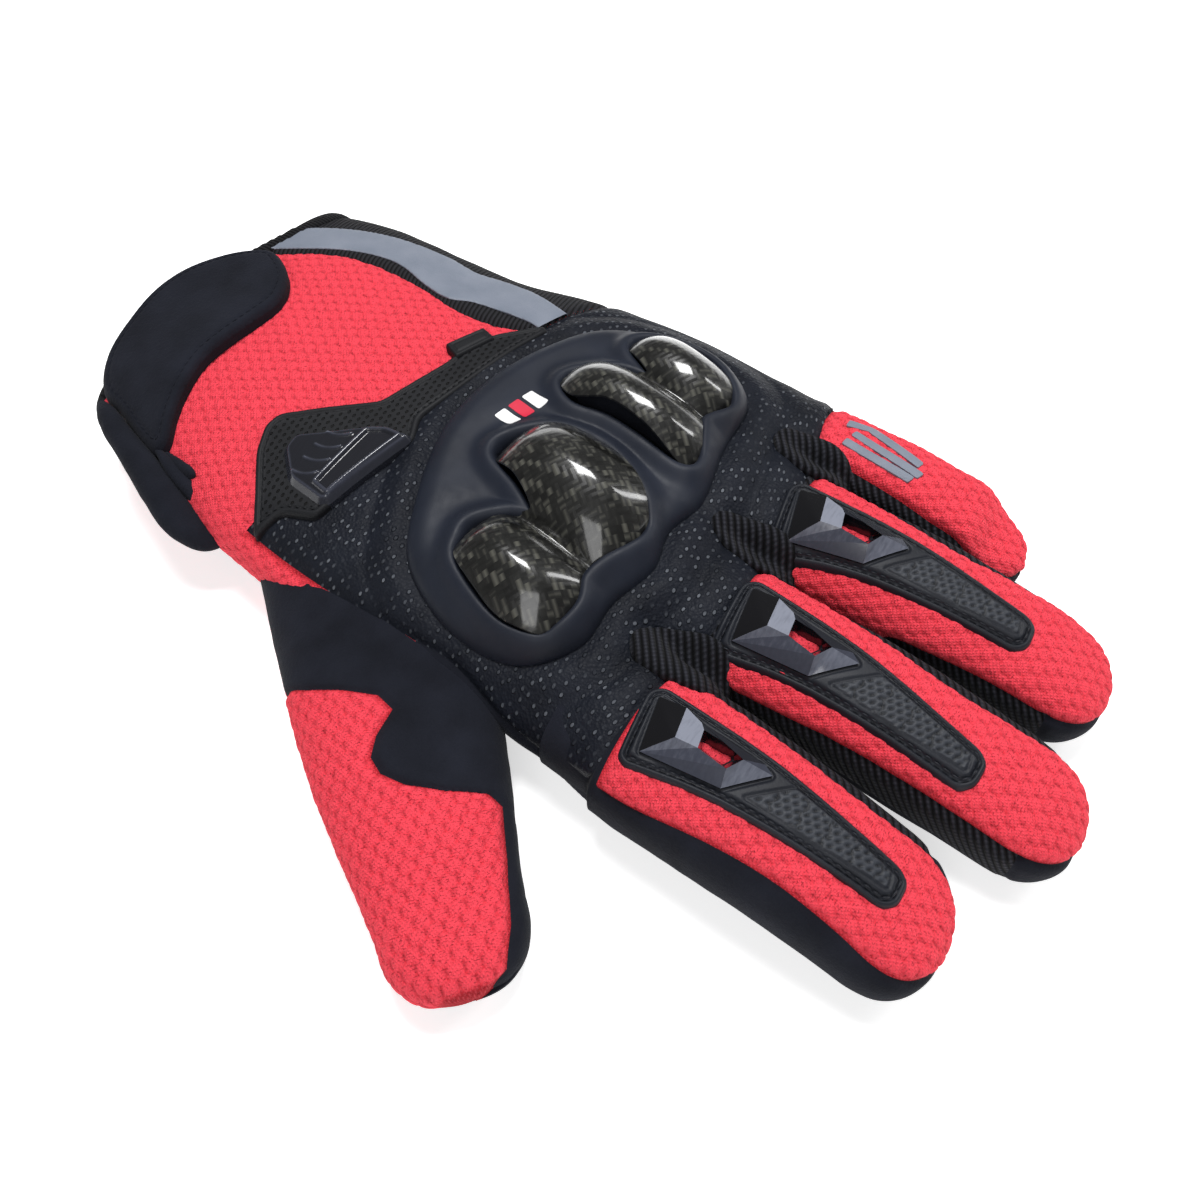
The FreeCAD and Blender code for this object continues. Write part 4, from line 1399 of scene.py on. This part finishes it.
def build_wrist_guard():
    plate = relief(WRIST_GUARD, guard_height, 0.28, drop=2.4)
    block = relief(WRIST_BLOCK, block_height, 0.3, drop=3.0)
    thread = stitches(over(shrunk(WRIST_GUARD, 1.75), guard_height, -0.28), 1.3, 0.5, 0.2)
    # slots marks where the plate gets its slots, painted near black as shade
    for mesh in (plate, block, thread):
        field = mesh.data["edge"] > 2.1 if mesh is plate else np.zeros(len(mesh.v))
        mesh.data = {"slots": field.astype(float)}
    on_hand("wrist_guard_plate", joined([plate, block, thread]), "guard_rubber", "slotted_rubber")
    badge = relief(WRIST_BADGE, badge_height, 0.18, drop=2.0)
    # the badge's painted highlights, kept as its height value
    badge.data = {"height": badge_highlights(*badge.v[:, :2].T, badge.data["edge"])}
    on_hand("wrist_guard_badge", badge, "guard_rubber", "faceted_gloss")


# ---- finger guards --------------------------------------------------------------------------------
# base x, base y, turn in degrees, width factor on the outer side, width factor on the thumb side
FINGER_GUARDS = {"index": (43.4, 40.0, 2.0, 1.0, 1.0), "middle": (12.4, 43.4, 5.0, 1.08, 1.0),
                 "ring": (-16.0, 40.8, -1.0, 1.06, 1.0)}
# distance along the finger from the base, offset towards the thumb
GUARD_EDGE = [(-1.9, -6.6), (0.4, -9.3), (8.4, -8.9), (17.5, -8.3), (26.7, -7.4), (36.1, -6.1),
              (45.2, -4.8), (54.7, -3.7), (57.0, -2.2), (57.2, 2.6), (54.8, 5.1), (46.3, 5.2),
              (38.1, 5.3), (29.8, 5.6), (21.5, 6.0), (13.5, 6.9), (2.4, 8.9), (0.4, 7.9)]
TEXTURE_EDGE = [(24.5, 2.9), (31.9, -4.6), (53.4, -1.9), (54.4, 1.8), (40, 3.0)]
# the insert's corners: along, across, height over the plate
INSERT_CORNERS = {
    "a": (1.0, -6.1, 0.3), "b": (6.8, -6.5, 1.3), "c": (11.0, -5.0, 1.8), "d": (25.0, -4.5, 1.1),
    "e": (27.1, -3.7, 0.3), "f": (20.4, 3.8, 0.3), "g": (3.9, 5.6, 0.3), "h": (8.6, 0.8, 2.9),
    "i": (13.2, 0.3, 2.8), "j": (19.6, 0.9, 2.5), "k": (21.3, -2.6, 2.1), "l": (12.1, -3.9, 1.9),
    "m": (20.2, -3.7, 1.7),
    "p": (12.7, -3.2, -1.3), "q": (13.2, -1.5, -1.3), "r": (18.1, -1.1, -1.3),
    "s": (18.9, -2.6, -1.3), "t": (18.6, -3.2, -1.3)}
# each facet's corners and the strength of the painted reflection that lightens its colour
INSERT_FACETS = [("abhg", 0.0), ("bclih", 1.0), ("ghi", 0.62), ("gij", 0.50), ("gjf", 0.42),
                 ("fjke", 0.66), ("kde", 0.45), ("cdkml", 0.12), ("liqp", 0.15), ("ijrq", 0.10),
                 ("jksr", 0.05), ("kmts", 0.0), ("mlpt", 0.0)]
INSERT_BASE = 1.85      # height of the plate over the finger under the insert
INSERT_WALL = 1.6
INSERT_RIM = "abcdefg"
INSERT_WINDOW = "pqrst"


def finger_top(name, x, y):
    xc, zc, w, h = finger_section(name, y)
    return zc + h * oval_height((x - xc) / w)


def guard_frame_of(name):
    """Base point and the directions along and across a finger guard."""
    x, y, turn = FINGER_GUARDS[name][:3]
    a = math.radians(turn)
    along = np.array([math.sin(a), math.cos(a)])
    return np.array([x, y]), along, np.array([along[1], -along[0]])


def on_finger(name, points):
    base, along, across = guard_frame_of(name)
    left, right = FINGER_GUARDS[name][3:]
    p = np.array(points, float)[:, :2]
    v = np.where(p[:, 1] < 0, p[:, 1] * left, p[:, 1] * right)
    return base + p[:, :1] * along + v[:, None] * across


def tread(name, x, y, texture):
    """Depth inside the textured field, its dimples and zigzag cracks (0..1), and how far into the field a
    point lies (0..1).
    """
    base, along, across = guard_frame_of(name)
    flat = np.stack([x, y], 1)
    panel = inside(flat, texture)
    u = (flat - base) @ along / 1.75
    v = (flat - base) @ across / 1.45 + 0.35 * u
    row = np.floor(v)
    du = (u + 0.5 * (row % 2)) % 1 - 0.5
    dv = v - row - 0.5
    comma = np.exp(-((du + 0.55 * dv) / 0.26) ** 2 - (dv / 0.27) ** 2)
    crack = bump((u * 0.32 + 0.16 * np.abs((v * 0.9) % 2 - 1)) % 1 - 0.5, 0, 0.035)
    field = ease((panel - 0.4) / 0.3)
    return panel, np.maximum(comma, 0.9 * crack) * field, field


def finger_guard_height(name, texture, insert):
    def height(x, y, d):
        z = finger_top(name, x, y) + 0.35 + 1.15 * rounded(d, 0.7)
        z = z - 0.75 * bump(d, 1.45, 0.36) + 0.45 * ease((d - 1.8) / 0.4)
        panel, dimples, field = tread(name, x, y, texture)
        z = z - 0.45 * bump(panel, 0.0, 0.25) - 0.15 * field - 0.55 * dimples
        seat = depth_in(x, y, insert)
        return z - 0.6 * bump(seat, -0.35, 0.35)
    return height


def faceted(corners, facets, rounds=3):
    """Flat facets with crisp edges, each cut into small triangles so that it can bend."""
    parts = []
    for facet, tone in facets:
        ring = np.array([corners[key] for key in facet], float)
        triangles = [(0, i, i + 1) for i in range(1, len(ring) - 1)]
        mesh = Mesh(ring, np.array(triangles))
        for _ in range(rounds):
            mesh = quartered(mesh)
        # the facet's tone is its painted reflection, kept as its height value
        mesh.data["height"] = np.full(len(mesh.v), tone)
        parts.append(mesh)
    return joined(parts)


def quartered(mesh):
    """Each triangle cut into four."""
    t = mesh.t
    edges = np.sort(np.concatenate([t[:, [0, 1]], t[:, [1, 2]], t[:, [2, 0]]]), 1)
    unique, index = np.unique(edges, axis=0, return_inverse=True)
    index = index.reshape(-1) + len(mesh.v)
    n = len(t)
    ab, bc, ca = index[:n], index[n:2 * n], index[2 * n:]
    v = np.concatenate([mesh.v, mesh.v[unique].mean(1)])
    new = np.concatenate([np.stack([t[:, 0], ab, ca], 1), np.stack([ab, t[:, 1], bc], 1),
                          np.stack([ca, bc, t[:, 2]], 1), np.stack([ab, bc, ca], 1)])
    return Mesh(v, new)


def over_plate(name, points):
    """Points given along, across and over the plate of a finger guard, in place."""
    place = on_finger(name, points)
    return np.column_stack([place, finger_top(name, *place.T) + INSERT_BASE + points[:, 2]])


def insert_mesh(name):
    """The glossy bevelled insert with its slanted window."""
    flat = faceted(INSERT_CORNERS, INSERT_FACETS)
    top = Mesh(over_plate(name, flat.v), flat.t)
    a, b, c = [top.v[top.t[:, k], :2] for k in range(3)]
    turned = (b[:, 0] - a[:, 0]) * (c[:, 1] - a[:, 1]) < (b[:, 1] - a[:, 1]) * (c[:, 0] - a[:, 0])
    top.t = np.where(turned[:, None], top.t[:, ::-1], top.t)
    # the painted reflection of each facet; the wall gets none
    top.data["height"] = flat.data["height"]
    ring = spaced(np.array([INSERT_CORNERS[k] for k in INSERT_RIM + INSERT_RIM[0]], float), 0.6)
    upper = over_plate(name, ring)
    wall = Mesh(np.concatenate([upper, upper - (0, 0, INSERT_WALL)]), grid_triangles(2, len(ring)))
    wall.data["height"] = np.zeros(len(wall.v))
    return joined([top, wall])


def build_finger_guards():
    for name in FINGER_GUARDS:
        outline = cornered_loop(on_finger(name, GUARD_EDGE), 2.0)
        texture = cornered_loop(on_finger(name, TEXTURE_EDGE), 0.8)
        seat = cornered_loop(on_finger(name, [INSERT_CORNERS[k] for k in INSERT_RIM]), 0.6)
        height = finger_guard_height(name, texture, seat)
        window = on_finger(name, [INSERT_CORNERS[k] for k in INSERT_WINDOW])
        plate = relief(outline, height, 0.3, (window,), drop=1.8)
        thread = stitches(over(shrunk(outline, 1.55), height, -0.38), 1.5, 0.5, 0.22)
        x, y = plate.v[:, :2].T
        dimples, field = tread(name, x, y, texture)[1:]
        # the dimples get painted shade through slots; the field is lighter
        plate.data = {"slots": dimples, "height": field}
        thread.data = {"slots": np.zeros(len(thread.v)), "height": np.zeros(len(thread.v))}
        on_finger_joints(name, joined([plate, thread]), "guard_rubber",
                         [f"{name}_guard_base", f"{name}_guard_end"],
                         [f"{name}_guard_plate", f"{name}_guard_tail"], "tread_rubber")
        insert = f"{name}_guard_insert"
        gloss = make(insert, dressed(insert_mesh(name)), "gloss_black", "faceted_gloss",
                     replaces=[insert])
        bend_at_knuckle(gloss, name)


# ---- soft parts laid on the hand -----------------------------------------------------------------
TONGUES = [
    curved_loop([(29, 29.5), (26, 29), (22.4, 31.5), (20.3, 36), (18.6, 42), (19.5, 48), (24.8, 51),
                 (30, 48), (31.6, 42), (32.4, 36.5), (31.6, 32)]),
    curved_loop([(-4.8, 29), (-9, 29), (-11.2, 34), (-12.6, 42), (-11, 48), (-7.2, 51), (-3.6, 48),
                 (-2.0, 42), (-2.6, 35)]),
    curved_loop([(-34.8, 29), (-39, 29.5), (-41.0, 33.5), (-42, 41), (-39.5, 47), (-36.4, 49),
                 (-32.8, 47), (-31.0, 41), (-31.4, 33.5)]),
]
TONGUE_CREASE = [25.0, -7.2, -36.6]
REFLECTIVE_BAND = curved_loop([(-29, -116), (-36, -110), (-42, -99), (-46.4, -86), (-47.6, -73),
                               (-46, -62), (-47.6, -54), (-48.0, -47), (-45.5, -38), (-40, -26),
                               (-33, -26), (-35.0, -38), (-34.9, -47), (-33.9, -54),
                               (-31.6, -60), (-32.8, -68), (-35.8, -78), (-35.2, -86),
                               (-31.6, -96), (-25.5, -108), (-21.5, -116)])
STRAP = curved_loop([(-19, -107.5), (-18.4, -102), (-13.5, -95), (-6, -91.0), (2, -91.6), (10, -93.2),
                     (18, -94), (26, -92.5), (33, -90), (38.5, -87.5), (42, -89), (41, -95), (37.5, -104),
                     (34.6, -113), (27, -118.4), (16, -121), (5, -122.3), (-5, -120.4), (-14, -114.5)])
STRAP_HINGE = np.array([(29.0, -112.0), (37.5, -80.0)])
STRAP_AXIS_Z = 29.3
STRAP_BEND = 3.5        # the places given to bend lie this far on both sides of the strap's hinge
STRAP_SEAM = 2.1        # distance of the stitches from its edge
HOOK_PATCH = curved_loop([(-9, -107), (-6, -100.5), (3, -98), (14, -98.5), (22, -98.5), (25, -107),
                          (19, -112), (8, -115), (-4, -112.5)])
FOLD_PATH = [(37.0, -112.0, 23.0, 1.0), (39.6, -106.5, 24.0, 2.4), (42.6, -99.0, 23.6, 3.0),
             (45.2, -91.6, 22.6, 3.5), (47.6, -84.8, 21.0, 3.9), (49.4, -79.3, 18.6, 4.2),
             (50.2, -74.4, 16.0, 4.2), (49.4, -70.8, 14.0, 3.8), (47.2, -69.2, 13.6, 3.1),
             (45.2, -70.4, 15.2, 2.6), (44.3, -74.4, 18.2, 2.3), (43.6, -79.0, 21.0, 2.1),
             (42.6, -84.0, 23.2, 1.5), (41.0, -89.0, 24.4, 0.6)]


def flat_pattern(mesh):
    mesh.data["pattern"] = np.column_stack([mesh.v[:, 0], mesh.v[:, 1], 0 * mesh.v[:, 0]])
    return mesh


def build_tongues():
    pads = []
    for outline, crease in zip(TONGUES, TONGUE_CREASE):
        def puffed(x, y, d, crease=crease):
            middle = hand_top(x, y, lift=False)
            fold = 1.1 * bump(x - crease, 0, 1.0) * ease((y - 34) / 7)
            return middle + 0.3 + 3.1 * rounded(d, 5.0) - fold - 0.10 * np.maximum(y - 44, 0) ** 1.8
        pads.append(flat_pattern(relief(outline, puffed, 0.4, drop=2.5)))
    tongues = on_hand("fourchette_tongues", joined(pads), "ribbed_knit")


def build_band():
    def raised(x, y, d):
        return hand_top(x, y) + 0.15 + 0.3 * rounded(d, 0.5)
    band = relief(REFLECTIVE_BAND, raised, 0.5, drop=0.9)
    x, y = band.v[:, :2].T
    band = band.clip(np.minimum(wrist_line(x) - 0.3 - y, y - cuff_line(x) - 1.0))
    on_hand("reflective_band", band, "reflective_grey")


def strap_under(x, y, d):
    return hand_top(np.minimum(x, 42.0), y, lift=False) + 2.3


def strap_top(x, y, d):
    wave = 0.3 * np.sin(x * 0.16 + 1.0) * np.sin(y * 0.13)
    seam = 0.28 * bump(d, STRAP_SEAM, 0.35)
    return strap_under(x, y, d) + 0.7 + 1.9 * rounded(d, 1.8) - seam + wave * ease(d / 4)


def build_strap():
    run = STRAP_HINGE[1] - STRAP_HINGE[0]
    run = run / np.linalg.norm(run)
    outward = np.array([run[1], -run[0]])
    tab = relief(STRAP, strap_top, 0.45, depth=2.4)
    line = over(shrunk(STRAP, STRAP_SEAM), lambda x, y, d: strap_top(x, y, STRAP_SEAM + 0 * x))
    thread = stitches(line, 1.5, 0.6, 0.2)
    tab.data = thread.data = {}
    strap = make("closure_strap", dressed(joined([tab, thread])), "suede_black",
                 replaces=["closure_strap"])
    middle = STRAP_HINGE.mean(0)
    reach = STRAP_BEND * outward
    bend(strap, "hand", "strap", middle + reach, middle - reach, STRAP_AXIS_Z)
    hooks = relief(HOOK_PATCH, lambda x, y, d: strap_under(x, y, d) + 0.2, 0.7, depth=0.9)
    make("strap_hook_patch", dressed(hooks), "hook_tape", "tape_pile", "strap",
         ["strap_hook_patch"])
    loops = relief(HOOK_PATCH, lambda x, y, d: hand_top(x, y, lift=False) + 0.9, 0.7, drop=1.2)
    on_hand("strap_loop_patch", loops, "loop_tape", "tape_pile")


def build_fold():
    """The padded lip that the strap passes through, folded round the edge of the cuff."""
    marks = np.array(FOLD_PATH)
    at = np.linspace(0, len(marks) - 1, 150)
    path = np.stack([smooth_curve(at, np.arange(len(marks)), marks[:, k]) for k in range(3)], 1)
    radius = smooth_curve(at, np.arange(len(marks)), marks[:, 3])
    roll = swept(path, np.maximum(radius, 0.3), 28, flat=0.85)
    roll = with_wrinkles(roll, 0.25, 6.0, 41)
    fold = on_hand("cuff_fold", roll, "suede_black")
    root = curved_loop([(27.5, -114), (34, -108), (38, -98), (39.5, -88), (40.5, -79), (42.3, -77.5),
                        (43, -84), (41.5, -95), (38.5, -104), (34.5, -112)])
    wrap = relief(root, lambda x, y, d: hand_top(x, y, lift=False) + 0.4 + 1.4 * rounded(d, 1.5)
                  + 0.8 * ease((x - 38) / 5), 0.5, drop=3.0)
    on_hand("strap_anchor", wrap, "suede_black")


BINDING_COLUMNS = 400
# across the tape: place along the hand from the cuff's edge, and outwards from the skin
BINDING_PROFILE = [(3.4, 0.0), (3.5, 0.55), (2.2, 0.8), (0.8, 0.8), (-0.4, 0.5), (-0.8, -0.5),
                   (-0.5, -1.6), (0.6, -2.3), (2.2, -2.6), (3.4, -2.5)]


def build_binding():
    """Woven tape over the raw edge of the cuff."""
    y = np.arange(CUFF_START, -106.0, 0.5)
    points, _ = hand_rings(y, BINDING_COLUMNS)
    nearest = np.abs(points[:, :, 1] - cuff_line(points[:, :, 0])).argmin(0)
    ring = points[nearest, np.arange(BINDING_COLUMNS)]
    tangent = np.roll(ring, -1, 0) - np.roll(ring, 1, 0)
    outward = unit(np.column_stack([tangent[:, 2], np.zeros(len(ring)), -tangent[:, 0]]))
    if ((ring - ring.mean(0)) * outward).sum() < 0:
        outward = -outward
    rows = [ring + (0, a, 0) + outward * b for a, b in BINDING_PROFILE]
    rows.append(rows[0])
    low = np.concatenate(rows)
    low[:, 2] = np.maximum(low[:, 2], 0.1)
    tape = Mesh(low, grid_triangles(len(rows), BINDING_COLUMNS, wrap=True)[:, ::-1])
    on_hand("cuff_binding", tape, "binding_tape")


PALM_PATCH = curved_loop([(-42, 26), (-10, 29), (32, 26), (35, -18), (20, -58), (-28, -63), (-44, -28)])


def build_palm_patch():
    """Smooth leather reinforcement, on the side that rests on the table."""
    under = relief(PALM_PATCH, lambda x, y, d: 0.1 + 0.5 * (1 - rounded(d, 1.5)), 1.0, drop=-1.2)
    under.t = under.t[:, ::-1]
    on_hand("palm_grip_patch", under, "leather_black")


LITTLE_BARS = [[(-50.6, 41.2), (-48.2, 41.2), (-49.6, 47.0), (-51.6, 47.0)],
               [(-51.6, 47.0), (-49.4, 46.4), (-45.0, 60.4), (-47.0, 61.0)],
               [(-48.0, 44.0), (-46.2, 43.4), (-42.2, 61.4), (-44.2, 62.2)],
               [(-45.0, 43.0), (-43.0, 42.6), (-40.4, 60.0), (-42.2, 60.8)]]


def build_little_print():
    """Generic reflective bars on the back of the little finger."""
    def skin(x, y, d):
        return finger_top("little", x, y) + 0.9 + 0.05 * rounded(d, 0.3)
    bars = joined([relief(cornered_loop(bar, 0.4), skin, 0.35, drop=0.5) for bar in LITTLE_BARS])
    bars.data = {}
    on_finger_joints("little", bars, "reflective_grey", ["little_print_base", "little_print_end"],
                     ["little_reflective_print", None])


# ---- studio -----------------------------------------------------------------------------------
CAMERA_AZIMUTH = math.radians(122)
CAMERA_ELEVATION = math.radians(57)
CAMERA_DISTANCE = 0.240
CAMERA_TARGET = np.array([0.017, 0.015, 0.015])
# name, place, size, power of each area light, in metres and watts
LIGHTS = [("key", (-0.15, -0.10, 0.80), (0.32, 0.22), 6.0),
          ("fill", (0.60, 0.30, 0.60), (0.5, 0.4), 2.2),
          ("strip", (-0.55, 0.45, 0.45), (0.10, 0.5), 1.8)]
LIGHT_TARGET = (0, 0, 0.01)
WORLD_LIGHT = 0.14
FLOOR_SIZE = 3.0
FLOOR_GLOW = 0.60       # keeps the paper white where the lights fall off


def look_at(obj, place, target):
    obj.location = place
    obj.rotation_mode = "QUATERNION"
    obj.rotation_quaternion = (Vector(target) - Vector(place)).to_track_quat("-Z", "Y")


def build_camera():
    a, e = CAMERA_AZIMUTH, CAMERA_ELEVATION
    back = np.array([math.sin(a) * math.cos(e), -math.cos(a) * math.cos(e), math.sin(e)])
    data = bpy.data.cameras.new("camera")
    data.lens = 33.0
    data.sensor_width = 36.0
    data.clip_start = 0.01
    camera = add("camera", data)
    look_at(camera, CAMERA_TARGET + back * CAMERA_DISTANCE, CAMERA_TARGET)
    bpy.context.scene.camera = camera


def area_light(name, place, size, power):
    data = bpy.data.lights.new(name, "AREA")
    data.shape = "RECTANGLE"
    data.size, data.size_y = size
    data.energy = power
    look_at(add(name, data), place, LIGHT_TARGET)


def build_studio():
    world = bpy.data.worlds.new("studio")
    world.use_nodes = True
    world.node_tree.nodes["Background"].inputs["Color"].default_value = (1, 1, 1, 1)
    world.node_tree.nodes["Background"].inputs["Strength"].default_value = WORLD_LIGHT
    bpy.context.scene.world = world
    bpy.context.scene.view_settings.view_transform = "Standard"
    for light in LIGHTS:
        area_light(*light)
    corners = [(x * FLOOR_SIZE, y * FLOOR_SIZE, 0) for x, y in ((-1, -1), (1, -1), (1, 1), (-1, 1))]
    data = bpy.data.meshes.new("floor")
    data.from_pydata(corners, [], [(0, 1, 2, 3)])
    floor = add("floor", data)
    s = Shader("floor_paper", (0.92, 0.92, 0.92), 0.8, specular_ior_level=0.1)
    s.set(s.bsdf, "Emission Color", (1, 1, 1, 1))
    s.set(s.bsdf, "Emission Strength", FLOOR_GLOW)
    data.materials.append(s.material)


for build in (build_camera, build_studio, build_hand, build_fingers, build_thumb,
              build_knuckle_guard, build_emblem, build_wrist_guard, build_finger_guards,
              build_tongues, build_band, build_strap, build_fold, build_binding,
              build_palm_patch, build_little_print):
    build()
